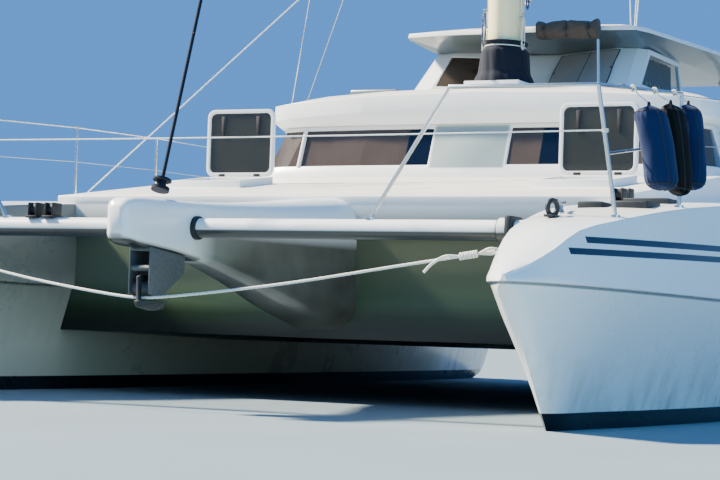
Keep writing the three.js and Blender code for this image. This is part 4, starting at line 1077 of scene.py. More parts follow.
def makeNet(side, sign):
    n, z = net["cells"], net["z"]

    def place(i, j):
        t, across = i / n, j / n
        inner, outer = netEdge(t)
        sag = net["sag"] * math.sin(math.pi * t) * math.sin(math.pi * across)
        return (
            net["aftX"] + (net["foreX"] - net["aftX"]) * t, sign * (inner + (outer - inner) * across), z - sag
        )

    web = wrapSheet("net_web_" + side, n, n, place, close=False, fillEnds=False)
    modifier(web, "WIREFRAME", thickness=net["thick"], use_even_offset=False)
    applyModifiers(web)
    border = [place(i, 0) for i in range(n + 1)] + [place(n, j) for j in range(1, n + 1)]
    border += [place(i, n) for i in range(n - 1, -1, -1)] + [place(0, j) for j in range(n - 1, 0, -1)]
    parts = [web, tube("net_bolt_rope_" + side, border, net["rope"], 8, closed=True)]
    # lacing that zigzags to the crossbeam in front and to the wall's rail behind
    laced = dict(
        fore=(1, (boat["beamX"] - 0.068, z - 0.03), (net["foreX"] + 0.004, z + 0.004)),
        aft=(0, (boat["frontWallX"] + 0.008, z - 0.004), (net["aftX"] - 0.004, z + 0.004)),
    )
    for t, (holdX, holdZ), (edgeX, edgeZ) in laced.values():
        inner, outer = netEdge(t)
        line = []
        for j in range(0, 2 * n + 1):
            y = sign * (inner + (outer - inner) * (j / (2 * n)))
            line.append((holdX, y, holdZ) if j % 2 else (edgeX, y, edgeZ))
        parts.append(tube("net_lacing", line, net["lacing"], 5))
    fit("net_" + side, parts, "net", "boat", ["trampoline_" + side])
    rail = [(boat["frontWallX"] + 0.004, sign * y, z + 0.006) for y in net["railY"]]
    settle(rod("net_rail_" + side, *rail, net["rail"], 8), "steel")


# Straps at the ends of the crossbeam, and the bridle's line and hitches
beamGear = dict(strapY=2.355, strapHalf=0.034, lugDepth=0.075, boltX=0.03, seatY=(2.39, 2.44), collarY=0.142)
bridle = dict(
    eyeX=5.172, strand=0.0052, pitch=0.055, hitchAt=0.17, cord=0.009,
    route=[
        (5.245, 2.335, 1.085), (5.33, 1.75, 0.985), (5.47, 0.95, 0.845), (5.585, 0.2, 0.748), (5.6, 0, 0.735),
        (5.585, -0.2, 0.748), (5.47, -0.95, 0.845), (5.33, -1.75, 0.985), (5.245, -2.335, 1.085),
    ],
)


def makeBeamStrap(side, sign):
    x, z, r = boat["beamX"], boat["beamZ"], boat["beamRadius"]
    y, half = sign * beamGear["strapY"], beamGear["strapHalf"]
    band = [
        (0, -half), (r + 0.009, -half), (r + 0.012, -0.03), (r + 0.012, 0.03), (r + 0.009, half), (0, half),
    ]
    parts = [lathe("strap", band, (x, y, z), (0, 1, 0), 32)]
    lug = (x - 0.012, y - 0.026, z - r - beamGear["lugDepth"]), (x + 0.012, y + 0.026, z - r + 0.01)
    parts.append(block("strap_lug", *lug, 0.004))
    for k in (-1, 1):
        bolt = (x + beamGear["boltX"] * k, y, z - r * 0.96)
        parts.append(rod("strap_bolt", bolt, (bolt[0], y, bolt[2] - 0.022), 0.009, 6))
    inner, outer = beamGear["seatY"]
    parts.append(
        block("beam_seat", (x - 0.1, sign * inner, z - 0.1), (x + 0.1, sign * outer, z + 0.09), 0.012)
    )
    fit("beam_strap_" + side, parts, "dark")
    eye = Vector((bridle["eyeX"], y, z - r - 0.06))
    shackle = ring(
        "bridle_shackle_" + side, eye + Vector((0.02, 0, -0.018)), (0.3, 1, 0), 0.026, 0.0065, 20, 8
    )
    settle(shackle, "steel")
    band = [
        (0, -0.02), (r + 0.008, -0.02), (r + 0.014, -0.014), (r + 0.014, 0.014), (r + 0.008, 0.02), (0, 0.02),
    ]
    collar = lathe("pod_collar_" + side, band, (x, sign * beamGear["collarY"], z), (0, 1, 0), 32)
    settle(collar, "black")


def makeBridle():
    parts = [twisted("bridle_line", smoothLine(bridle["route"], 8), bridle["strand"], bridle["pitch"])]
    for sign in (1, -1):
        start, toward = Vector(bridle["route"][0]), Vector(bridle["route"][1])
        start.y, toward.y = sign * start.y, sign * toward.y
        ahead = (toward - start).normalized()
        place = start + ahead * bridle["hitchAt"]
        parts.append(hitch("bridle_hitch", place, ahead, 0.017, 0.0085, 7))
        # the eye through the shackle, and the tail that hangs from the hitch
        loop = [
            start + ahead * 0.1, start + ahead * 0.02 + Vector((0.028, 0, 0.018)), start - ahead * 0.03,
            start + ahead * 0.02 + Vector((-0.028, 0, -0.012)), start + ahead * 0.1,
        ]
        tail = [
            place + ahead * 0.06, place + ahead * 0.14 + Vector((0.03, 0, 0.012)),
            place + ahead * 0.22 + Vector((0.045, 0, -0.025)),
            place + ahead * 0.27 + Vector((0.05, 0, -0.07)),
        ]
        parts.append(tube("bridle_eye", smoothLine(loop, 6), bridle["cord"], 8))
        parts.append(tube("bridle_tail", smoothLine(tail, 6), bridle["cord"], 8))
    fit("bridle", parts, "rope")


for side, sign in sides:
    makeNet(side, sign)
    makeBeamStrap(side, sign)
makeBridle()
print("trampolines and bridle rigged")


# Bows: chain, cleats, fairleads, turning blocks and deck hatches
foredeck = dict(
    # cleats: x, y, size, degrees; hatches: aft x, fore x, y, half-breadth
    bowCleat=(4.82, 2.60, 0.25, 8), midCleat=(0.9, 3.3, 0.24, 0), sternCleat=(-4.5, 3.26, 0.25, 0),
    fairlead=(5.12, 2.66, 0.11),
    blocksOnDeck=[(3.42, 2.52), (3.12, 2.47)], blocksOnBeam=[1.03, 1.17],
    hatches=[(4.16, 4.44, 2.93, 0.12), (4.2, 4.44, 2.66, 0.085), (3.5, 3.8, 2.83, 0.16)],
    chainLow=(5.262, 0, 0.868), chainHigh=(5.16, 0, 1.05), chainLinks=8, link=(0.0165, 0.005),
)
# for the rim and the pane of a hatch: foot, head and rounding
hatchForms = dict(
    deck=dict(inset=0.03, rim=(-0.05, 0.012, 0.008), pane=(-0.01, 0.015, 0.004), look="dark"),
    roof=dict(inset=0.035, rim=(-0.03, 0.03, 0.016), pane=(-0.01, 0.036, 0.008), look="alloy"),
)


def makeCleat(name, centre, heading, size=0.26):
    # two feet and a horn each way
    centre = Vector(centre)
    turn = Matrix.Rotation(heading, 3, "Z")
    ahead = turn @ Vector((1, 0, 0))
    profile = [(0, 0), (0.1, 0), (0.09, 0.035), (0.05, 0.1), (0.045, 0.24), (0, 0.24)]
    parts = []
    for k in (-1, 1):
        foot = centre + ahead * size * 0.14 * k
        parts.append(lathe("foot", [(size * r, size * rise) for r, rise in profile], foot, (0, 0, 1), 16))
    spots = (-0.5, -0.36, -0.2, 0, 0.2, 0.36, 0.5)
    horn = [centre + ahead * size * t + Vector((0, 0, size * (0.24 + 0.05 * abs(t) ** 2 * 4))) for t in spots]
    parts.append(tube("horn", smoothLine(horn, 4), size * 0.052, 10))
    for k in (0, -1):
        parts.append(ball("horn_tip", horn[k], size * 0.055, rings=6))
    return fit(name, parts, "alloy")


def makeFairlead(name, centre, across, size):
    # a closed chock on a base plate
    centre = Vector(centre)
    parts = [ring("chock", centre + Vector((0, 0, size * 0.55)), across, size * 0.42, size * 0.15, 24, 10)]
    low, high = Vector((-size * 0.7, -size * 0.28, 0)), Vector((size * 0.7, size * 0.28, size * 0.16))
    parts.append(block("chock_foot", centre + low, centre + high, size * 0.05))
    return fit(name, parts, "dark")


def makeChain():
    # from the anchor's shank up through the pod's floor
    low, high, count = Vector(foredeck["chainLow"]), Vector(foredeck["chainHigh"]), foredeck["chainLinks"]
    links = []
    for k in range(count):
        way = (1, 0, 0.4) if k % 2 else (0, 1, 0)
        links.append(ring("link", low.lerp(high, k / (count - 1)), way, *foredeck["link"], 14, 8))
    fit("anchor_chain", links, "galvanised")


def makeTurningBlock(name, x, y, z):
    # two cheeks and a sheave on a foot
    parts = []
    for s in (-1, 1):
        low, high = (x - 0.055, y + s * 0.03 - 0.006, z + 0.012), (x + 0.055, y + s * 0.03 + 0.006, z + 0.105)
        parts.append(block("block_cheek", low, high, 0.004))
    parts.append(
        rod("block_sheave", (x, y - 0.026, z + 0.06), (x, y + 0.026, z + 0.06), 0.04, 24, bevel=0.004)
    )
    parts.append(
        block("block_foot", (x - 0.07, y - 0.045, z - 0.004), (x + 0.07, y + 0.045, z + 0.014), 0.004)
    )
    fit(name, parts, "black")


def makeHatch(kind, tag, x0, x1, y, half, z):
    # a low frame with a smoked pane in it
    form = hatchForms[kind]
    foot, head, bevel = form["rim"]
    rim = block(kind + "_hatch_rim_" + tag, (x0, y - half, z + foot), (x1, y + half, z + head), bevel, 3)
    settle(rim, form["look"])
    x0, x1, half = x0 + form["inset"], x1 - form["inset"], half - form["inset"]
    foot, head, bevel = form["pane"]
    pane = block(kind + "_hatch_pane_" + tag, (x0, y - half, z + foot), (x1, y + half, z + head), bevel)
    settle(pane, "smoke")


makeChain()
for side, sign in sides:
    for name in ("bow", "mid", "stern"):
        x, y, size, heading = foredeck[name + "Cleat"]
        makeCleat(name + "_cleat_" + side, (x, sign * y, deckAt(x, y)), math.radians(heading * sign), size)
        if name == "bow":
            x, y, size = foredeck["fairlead"]
            makeFairlead("bow_fairlead_" + side, (x, sign * y, deckAt(x, y)), (0.35, 1, 0), size)
    # turning blocks: on the deck to port, on the crossbeam to starboard
    spots = [(x, y, deckAt(x, y)) for x, y in foredeck["blocksOnDeck"]]
    if sign < 0:
        spots = [
            (boat["beamX"], y, boat["beamZ"] + boat["beamRadius"] - 0.004) for y in foredeck["blocksOnBeam"]
        ]
    for k, (x, y, z) in enumerate(spots):
        makeTurningBlock("turning_block_%d_%s" % (k, side), x, sign * y, z)
    for k, (x0, x1, y, half) in enumerate(foredeck["hatches"]):
        makeHatch("deck", "%d_%s" % (k, side), x0, x1, sign * y, half, max(deckAt(x0, y), deckAt(x1, y)))
print("foredeck gear set")


# Saloon trim: a mullion in each front window, low roof hatches and vents
trim = dict(
    wallFootZ=1.94, wallRise=0.5, lean=0.19, bend=0.06, cornerBend=0.08, cornerY=0.9, crown=0.09,
    roofHalf=2.23, mullionY=1.72, mullionZ=(2.05, 2.41), mullionIn=0.022, mullion=0.02,
    hatchX=(-0.55, -0.07), hatchY=1.1, hatchHalf=0.24, ventAt=(-1.45, 1.3),
    cowl=[  # radius, height
        (0, 0), (0.085, 0), (0.08, 0.012), (0.05, 0.02), (0.048, 0.075), (0.085, 0.09), (0.09, 0.1),
        (0.07, 0.112), (0, 0.118),
    ],
)


def cabinFrontAt(z, y):
    # the front wall's face: it rakes back as it rises and bends back at the corners
    up = (z - trim["wallFootZ"]) / trim["wallRise"]
    bend = trim["bend"] - trim["cornerBend"] * max(0.0, abs(y) - trim["cornerY"]) ** 2
    return boat["cabinFrontX"] + bend - trim["lean"] * up


def roofAt(y):
    return boat["roofTopZ"] + trim["crown"] * (1 - min(abs(y) / trim["roofHalf"], 1) ** 2)


for side, sign in sides:
    y = sign * trim["mullionY"]
    low, high = [(cabinFrontAt(z, y) - trim["mullionIn"], y, z) for z in trim["mullionZ"]]
    settle(rod("window_mullion_" + side, low, high, trim["mullion"], 10), "white")
    y = sign * trim["hatchY"]
    makeHatch("roof", side, *trim["hatchX"], y, trim["hatchHalf"], roofAt(y))
    x, y = trim["ventAt"]
    vent = lathe("roof_vent_" + side, trim["cowl"], (x, sign * y, roofAt(y) - 0.004))
    settle(vent, "steel")
print("saloon trimmed")


# Mast: its boot, winches, halyards, diamond stays, lower shrouds and masthead gear
mastForm = dict(
    halfChord=0.22, halfWidth=0.16, footZ=2.88, topZ=18.8,
    spreaders=[(8.3, 1.0, 0.3), (12.9, 0.82, 0.24)],  # height, reach, sweep
)
boot = dict(
    rise=0.388, around=96, up=40, folds=9, smallFolds=23, depth=0.011, sag=0.008, seat=0.003, cloth=0.004,
    pinchedAt=(0.84, 0.92), cordAt=0.885, cordGap=0.021, cord=0.006,
    grow=[  # part of the height, distance off the mast
        (0.0, 0.112), (0.10, 0.098), (0.26, 0.070), (0.5, 0.060), (0.74, 0.050), (0.86, 0.020), (0.90, 0.014),
        (0.94, 0.030), (1.0, 0.040),
    ],
)
winchDrum = [  # radius and height, in parts of the winch's radius
    (0, 0), (1.15, 0), (1.15, 0.2), (0.98, 0.34), (0.86, 0.9), (0.9, 1.5), (1.1, 1.72), (1.12, 1.9),
    (0.8, 2.05), (0.3, 2.1), (0, 2.1),
]
rigging = dict(
    winches=[(200, 3.72), (160, 3.72), (215, 4.0), (120, 3.95)], winch=0.05,  # degrees round the mast, height
    halyards=[  # degrees round the mast, gap, height of the cleat, radius, rope
        (282, 0.014, 3.42, 0.0065, "rope"), (292, 0.014, 3.55, 0.0055, "blueRope"),
        (268, 0.014, 3.36, 0.005, "rope"), (76, 0.014, 3.5, 0.0055, "rope"),
        (96, 0.014, 3.9, 0.005, "blueRope"),
    ],
    sheaveZ=18.6, sheaveStep=0.3, coils=3, coilWide=0.035, coilDrop=0.16, mastCleat=0.1,
    diamondZ=(5.1, 16.9), diamond=0.0045, tip=0.026, tipRise=0.06,
    shroudFoot=(-1.85, 3.17), shroudZ=8.05, shroudAt=100, shroud=0.0048, turnbuckle=0.013,
    ledFoot=(1.94, -3.0), ledZ=5.36, ledAt=-80, led=0.0052,
)


def roundMast(a, gap, z):
    # a place on the mast's oval section, or off it by the gap
    x, y = (mastForm["halfChord"] + gap) * math.cos(a), (mastForm["halfWidth"] + gap) * math.sin(a)
    return Vector((boat["mastX"] + x, y, z))


def besideMast(angle, gap, z):
    return roundMast(math.radians(angle), gap, z)


def makeBoot():
    around, up = boot["around"], boot["up"]
    pinchLow, pinchHigh = boot["pinchedAt"]

    def place(i, j):
        t, a = i / up, 2 * math.pi * (j % around) / around
        fold = math.sin(a * boot["folds"] + 1.9 * math.sin(2 * a) + t * 2.2) * 0.5
        fold += math.sin(a * boot["smallFolds"] + t * 7) * 0.22
        loose = 0.35 + 0.65 * (1 - t)
        pinch = 0.5 if pinchLow < t < pinchHigh else 1.0
        out = readRow(boot["grow"], t)[1] + fold * boot["depth"] * loose * pinch
        sag = boot["sag"] * math.sin(3 * a + 1) * (1 - t) * t
        return roundMast(a, out, mastForm["footZ"] + boot["seat"] + boot["rise"] * t + sag)

    skirt = wrapSheet("mast_boot_cover", up, around, place, fillEnds=False)
    settle(smooth(thicken(skirt, boot["cloth"], offset=-1), 60), "navy", "boat", ["mast_boot"])
    z = mastForm["footZ"] + boot["rise"] * boot["cordAt"]
    band = [roundMast(2 * math.pi * k / 48, boot["cordGap"], z) for k in range(48)]
    settle(tube("mast_boot_cord", band, boot["cord"], 8, closed=True), "rope")


def makeWinch(name, centre, along, radius):
    drum = [(radius * r, radius * rise) for r, rise in winchDrum]
    return settle(lathe(name, drum, centre, along, 32), "steel")


def makeHalyard(k, angle, gap, z, radius, look):
    # a line up the mast, with its coil hung over a cleat
    foot = besideMast(angle, gap, z)
    head = besideMast(angle, gap, rigging["sheaveZ"] - rigging["sheaveStep"] * k)
    parts = [rod("halyard_" + str(k), foot, head, radius, 8)]
    away, wide, drop = math.copysign(1, foot.y), rigging["coilWide"], rigging["coilDrop"]
    root = foot + Vector((0, 0.012 * away, 0.0))
    for n in range(rigging["coils"]):
        coil = []
        for s in range(20):
            a = 2 * math.pi * s / 20
            coil.append(
                root + Vector((wide * math.sin(a), 0.01 * away * (1 + 0.3 * n), -drop + drop * math.cos(a)))
            )
        parts.append(tube("halyard_coil", coil, radius, 6, closed=True))
    fit("halyard_" + str(k), parts, look)
    makeCleat("halyard_cleat_" + str(k), besideMast(angle, 0.0, z), math.pi / 2, rigging["mastCleat"])


def makeStays(side, sign):
    rise = rigging["tipRise"]
    tips = [
        Vector((boat["mastX"] - sweep, sign * reach, z + rise)) for z, reach, sweep in mastForm["spreaders"]
    ]
    low, high = [besideMast(90 * sign, 0.003, z) for z in rigging["diamondZ"]]
    settle(tube("upper_diamond_" + side, [low, *tips, high], rigging["diamond"], 8), "wire")
    for k, tip in enumerate(tips):
        cap = ball("spreader_tip_%d_%s" % (k, side), tip, rigging["tip"], rings=6)
        settle(cap, "black")
    # lower shroud to the second chainplate, with its turnbuckle
    x, y = rigging["shroudFoot"]
    foot = Vector((x, sign * y, deckAt(x, y) + 0.02))
    head = besideMast(rigging["shroudAt"] * sign, 0.004, rigging["shroudZ"])
    ahead = (head - foot).normalized()
    parts = [
        rod("lower_shroud", foot + ahead * 0.3, head, rigging["shroud"], 8),
        rod("turnbuckle", foot + ahead * 0.09, foot + ahead * 0.34, rigging["turnbuckle"], 12, bevel=0.004),
        ring("shroud_toggle", foot + ahead * 0.05, (1, 0, 0), 0.022, 0.007, 16, 8),
        block("chainplate", foot - Vector((0.03, 0.004, 0.06)), foot + Vector((0.03, 0.004, 0.05)), 0.003),
    ]
    fit("lower_shroud_" + side, parts, "wire")


def makeMasthead():
    top = mastForm["topZ"]
    parts = [
        rod("vhf_whip", (-0.95, 0, top - 0.02), (-0.95, 0, top + 0.028), 0.012, 10),
        ball("anchor_light", (-0.72, 0, top + 0.012), 0.018, (1, 1, 0.8), 8),
        rod("wind_arm", (-0.4, 0, top + 0.005), (-0.33, 0, top + 0.025), 0.005, 8),
    ]
    fit("masthead_gear", parts, "black")


makeBoot()
for k, (angle, z) in enumerate(rigging["winches"]):
    a = math.radians(angle)
    away = Vector((math.cos(a) / mastForm["halfChord"], math.sin(a) / mastForm["halfWidth"], 0))
    makeWinch("mast_winch_" + str(k), besideMast(angle, -0.004, z), away, rigging["winch"])
for k, row in enumerate(rigging["halyards"]):
    makeHalyard(k, *row)
for side, sign in sides:
    makeStays(side, sign)
makeMasthead()
# a spare halyard led out to the starboard deck
foot = (*rigging["ledFoot"], deckAt(*rigging["ledFoot"]))
head = besideMast(rigging["ledAt"], 0.01, rigging["ledZ"])
settle(rod("led_halyard", foot, head, rigging["led"], 8), "rope")
print("mast rigged")


# Boom: the stowed sail in its bag, the end cap and the mainsheet's bails and blocks
bag = dict(
    foreX=-1.02, aftX=-5.35, lowZ=0.066, along=150, around=56, straps=(0.2, 0.42, 0.64, 0.86), strap=0.011,
    zip=0.008,
    sections=[  # part of the length, half-breadth, height
        (0, 0.120, 0.50), (0.08, 0.165, 0.535), (0.3, 0.178, 0.47), (0.55, 0.165, 0.37), (0.8, 0.135, 0.27),
        (0.95, 0.095, 0.19), (1, 0.06, 0.14),
    ],
)
boomGear = dict(
    endX=-5.52, cap=[(0, 0), (0.084, 0), (0.086, 0.02), (0.074, 0.05), (0, 0.056)],
    bailX=(-4.1, -4.35), y=0.03, block=0.045, drop=0.20,
    bail=[(-0.05, -0.08), (-0.04, -0.13), (0, -0.15), (0.04, -0.13), (0.05, -0.08)], bailRadius=0.006,
)


def makeBag():
    along, around = bag["along"], bag["around"]
    foot = boat["boomZ"] + bag["lowZ"]

    def place(i, j):
        t = i / along
        _, half, rise = readRow(bag["sections"], t)
        a = 2 * math.pi * (j % around) / around
        x = bag["foreX"] + (bag["aftX"] - bag["foreX"]) * t
        across, up = math.sin(a), -math.cos(a)
        # the cloth slumps between its straps and is drawn in under them
        slump = (
            0.05 * math.sin(9.0 * t * math.pi + 0.6) * max(0.0, 1 - abs(up))
            + 0.018 * math.sin(31 * t + 3 * a)
        )
        ripple = 1 + 0.10 * math.sin(17 * t + 1.1 * math.sin(6 * t)) * across * across
        wide = half * ripple * math.copysign(abs(across) ** 0.8, across)
        pinch = 1 - 0.12 * sum(math.exp(-(((t - s) * 34) ** 2)) for s in bag["straps"]) * abs(across)
        top = 0.5 * (1 + up)
        z = foot + rise * top ** 0.92 + slump * 0.22 * top
        return (x, wide * pinch * (1 - 0.45 * top ** 1.6), min(z, foot + rise))

    cover = wrapSheet("sail_bag_cover", along, around, place)
    smooth(cover, 70)
    settle(cover, "taupe", "boom_body", ["sail_bag"])
    straps = []
    for s in bag["straps"]:
        line = []
        for j in range(around):
            x, y, z = place(round(along * s), j)
            line.append(Vector((x, y, z)) + Vector((0, math.copysign(0.004, y), 0)))
        straps.append(tube("bag_strap", line, bag["strap"], 6, closed=True))
    fit("bag_straps", straps, "navy", "boom_body")
    line = [Vector(place(i, around // 2)) + Vector((0, 0, 0.004)) for i in range(2, along - 1)]
    settle(tube("bag_zip", line, bag["zip"], 6), "black", "boom_body")


def makeBlock(name, centre, body="boat"):
    # a sheave between two cheeks on a pin
    centre, radius, way = Vector(centre), boomGear["block"], Vector((0, 1, 0))

    def disc(part, start, end, size, sides, bevel=0.0):
        start, end = centre + way * radius * start, centre + way * radius * end
        return rod(part, start, end, radius * size, sides, bevel=radius * bevel)

    parts = [disc("block_wheel", -0.28, 0.28, 0.86, 24, 0.08)]
    parts += [disc("block_side", 0.36 * s, 0.52 * s, 1, 24, 0.06) for s in (-1, 1)]
    parts.append(disc("block_pin", -0.6, 0.6, 0.2, 12))
    return fit(name, parts, "black", body)


def makeBoomGear():
    y, z = boomGear["y"], boat["boomZ"]
    cap = lathe("boom_end_cap", boomGear["cap"], (boomGear["endX"], 0, z), (-1, 0, 0), 28)
    settle(cap, "black", "boom_body")
    for k, x in enumerate(boomGear["bailX"]):
        line = smoothLine([(x + dx, y, z + dz) for dx, dz in boomGear["bail"]], 5)
        bail = tube("boom_bail_" + str(k), line, boomGear["bailRadius"], 8)
        settle(bail, "steel", "boom_body")
        makeBlock("boom_block_" + str(k), (x, y, z - boomGear["drop"]), "boom_body")


makeBag()
makeBoomGear()
print("boom dressed")


# Hatch lids: frame, smoked pane, latches and hinges
lid = dict(
    x0=1.403, x1=1.438, z0=1.866, z1=2.455, half=0.334, y=1.65, corner=0.07, frame=0.034, cornerSteps=8,
    edge=0.004, paneIn=0.010, latchIn=0.16,
)


def makeLid(side, sign):
    body = "hatch_" + side + "_body"
    y0, y1 = sign * lid["y"] - lid["half"], sign * lid["y"] + lid["half"]
    x0, x1, z0, z1 = lid["x0"], lid["x1"], lid["z0"], lid["z1"]
    inner, steps = lid["frame"], lid["cornerSteps"]

    def outline(grow, radius):
        # a closed line round the lid, with round corners
        points = []
        for far, up, start in ((1, 1, 0), (0, 1, 90), (0, 0, 180), (1, 0, 270)):
            cy = y1 - grow - radius if far else y0 + grow + radius
            cz = z1 - grow - radius if up else z0 + grow + radius
            for k in range(steps + 1):
                a = math.radians(start + 90 * k / steps)
                points.append((cy + radius * math.cos(a), cz + radius * math.sin(a)))
        return points

    tight = lid["corner"] - inner * 0.6
    outer, hole = outline(0.0, lid["corner"]), outline(inner, tight)
    edge = outline(inner - lid["edge"], tight)
    count = len(outer)
    back, front = x0 + 0.004, x1 - 0.002
    corners = [(back, outer), (front, outer), (front, hole), (back, hole), (back, outer)]
    rim = wrapSheet(
        "lid_rim", 4, count, lambda i, j: (corners[i][0], *corners[i][1][j % count]), fillEnds=False
    )
    bevelled(rim, lid["edge"], 2, 40)
    smooth(rim, 35)
    settle(rim, "white", body, ["hatch_lid_" + side], slot="acrylic_smoke").name = "lid_frame_" + side
    faces = (x0 + lid["paneIn"], x1 - lid["paneIn"])
    pane = wrapSheet("lid_pane_" + side, 1, count, lambda i, j: (faces[i], *edge[j % count]))
    settle(smooth(pane, 30), "lid", body)
    marks = []
    for y in (y0 + lid["latchIn"], y1 - lid["latchIn"]):
        fittings = dict(
            latch=(x1 - 0.014, x1 - 0.003, 0.022, z1 - 0.20, z1 - 0.06, 0.004),
            latch_bar=(x1 - 0.012, x1 - 0.001, 0.011, z1 - 0.245, z1 - 0.09, 0.004),
            hinge=(x0 - 0.004, x1 - 0.001, 0.035, z0, z0 + 0.026, 0.005),
        )
        for kind, (aft, fore, wide, foot, head, bevel) in fittings.items():
            marks.append(block("lid_" + kind, (aft, y - wide, foot), (fore, y + wide, head), bevel))
    fit("lid_latches_" + side, marks, "black", body)


for side, sign in sides:
    makeLid(side, sign)
print("hatch lids framed")


# Fenders: inflated bodies in stretched covers, gathered at both ends and tied to the rail
fenders = dict(
    fender_blue_forward=dict(
        x=4.72, y=3.185, z=(1.505, 2.025), radius=0.112, lean=-0.09, heel=0.07, look="blue", flat=0.94,
        folds=8, phase=0.4,
    ),
    fender_black=dict(
        x=4.47, y=3.235, z=(1.49, 2.065), radius=0.096, lean=-0.08, heel=0.05, look="blackSoft", flat=0.88,
        folds=7, phase=1.7,
    ),
    fender_blue_aft=dict(
        x=4.26, y=3.275, z=(1.54, 2.085), radius=0.087, lean=-0.03, heel=0.04, look="blue", flat=0.94,
        folds=8, phase=2.6,
    ),
)
fenderTrim = dict(
    around=64, up=60, shoulder=0.16, gather=0.24, gatherAt=(0.07, 0.93), seam=0.0035, cord=0.0045,
    railX=5.15, railRun=0.97, railY=(2.95, 0.23), railZ=(2.12, 0.05),
)


def makeFender(name, x, y, z, radius, lean, heel, look, flat, folds, phase):
    low, high = z
    around, up = fenderTrim["around"], fenderTrim["up"]

    def place(i, j):
        t, a = i / up, 2 * math.pi * (j % around) / around
        end = min(t, 1 - t)
        shoulder = min(1.0, end / fenderTrim["shoulder"])
        gather = max(0.0, 1 - end / fenderTrim["gather"])
        crease = math.sin(folds * 2 * a + phase + 2.0 * math.sin(a)) * 0.05 * gather
        slack = 0.022 * math.sin(3 * a + 5 * t + phase) * math.sin(math.pi * t)
        slack += 0.012 * math.sin(5 * a - 13 * t + phase)
        r = radius * (0.14 + 0.86 * math.sqrt(max(0.0, 1 - (1 - shoulder) ** 2.2))) * (1 + crease + slack)
        return (
            x + r * math.cos(a) + lean * (0.5 - t),
            y + r * flat * math.sin(a) + 0.012 * math.sin(math.pi * t) + heel * (0.5 - t),
            low + (high - low) * t + 0.006 * math.sin(2 * a + phase) * gather,
        )

    cover = wrapSheet(name + "_cover", up, around, place)
    smooth(cover, 70)
    settle(cover, look, "boat", [name])
    seam = [Vector(place(i, around // 8)) for i in range(3, up - 2)]
    parts = [tube("fender_seam", seam, fenderTrim["seam"], 6)]
    for t in fenderTrim["gatherAt"]:
        line = [place(round(up * t), j) for j in range(0, around, 2)]
        parts.append(tube("fender_gather", line, fenderTrim["cord"], 6, closed=True))
    top = Vector((x - lean * 0.5, y - heel * 0.5, high - 0.01))
    parts.append(ring("fender_eye", top + Vector((0, 0, 0.018)), (0, 1, 0), 0.016, 0.007, 16, 8))
    fit(name + "_trim", parts, "black")
    # the after rail of the pulpit runs over them
    along = (fenderTrim["railX"] - top.x) / fenderTrim["railRun"]
    (railY, yStep), (railZ, zStep) = fenderTrim["railY"], fenderTrim["railZ"]
    rail = Vector((top.x, railY + yStep * along, railZ + zStep * along))
    hang = [top + Vector((0, 0, 0.03)), rail + Vector((0, 0.03, -0.03)), rail + Vector((0, 0.019, 0))]
    turns = [
        ring("lanyard_turn", rail + Vector((d, 0, 0)), (1, -0.237, -0.05), 0.019, 0.005, 16, 8)
        for d in (-0.006, 0.006)
    ]
    fit(name + "_lanyard", [tube("lanyard", smoothLine(hang, 6), 0.005, 8), *turns], "rope")


for name, form in fenders.items():
    makeFender(name, **form)
print("fenders covered")


# Cockpit: cushions, winches, jammers, table and sole
cockpit = dict(
    soleZ=1.15, benchZ=1.56, backX=-4.55, foreX=-2.8, deckZ=1.68, benchY=1.49, cushion=(0.49, 0.09),
    cushionIn=0.015, inboardY=1.245, cushionGap=0.02, each=3, winchY=1.98, primary=(-3.6, 0.075),
    secondary=(-4.2, 0.062), jammerX=(-3.25, -3.08), jammerY=1.96, jammerStep=0.045, jammerTall=0.075,
    table=((-4.05, -0.1, 1.86), (-3.15, 0.72, 1.895)), legAt=(-3.6, 0.31), sole=((-4.52, -1.2), (-2.12, 1.2)),
    plank=0.008,
    leg=[  # radius, height
        (0, 0), (0.12, 0), (0.12, 0.012), (0.04, 0.03), (0.034, 0.05), (0.034, 0.66), (0.07, 0.69),
        (0.07, 0.708), (0, 0.708),
    ],
)
pad = dict(
    narrow=0.012, crown=0.016, drawIn=0.012, edge=0.012, cell=0.04, cells=(6, 16), voxel=0.014, pressure=4.0,
    cap=0.014, frames=20, welt=0.0055, weltAt=0.72, weltSteps=14,
)


def puff(piece):
    # blows a pad up as cloth under pressure, and holds each point near where it began
    modifier(piece, "REMESH", mode="VOXEL", voxel_size=pad["voxel"])
    applyModifiers(piece)
    start = [v.co.copy() for v in piece.data.vertices]
    cloth = modifier(piece, "CLOTH")
    cloth.settings.use_pressure = True
    cloth.settings.uniform_pressure_force = pad["pressure"]
    cloth.settings.effector_weights.gravity = 0
    cloth.point_cache.frame_start, cloth.point_cache.frame_end = 1, pad["frames"]
    for frameNumber in range(1, pad["frames"] + 1):
        bpy.context.scene.frame_set(frameNumber)
    applyModifiers(piece)
    bpy.context.scene.frame_set(1)
    for vertex, was in zip(piece.data.vertices, start):
        moved = vertex.co - was
        if moved.length > pad["cap"]:
            vertex.co = was + moved * (pad["cap"] / moved.length)


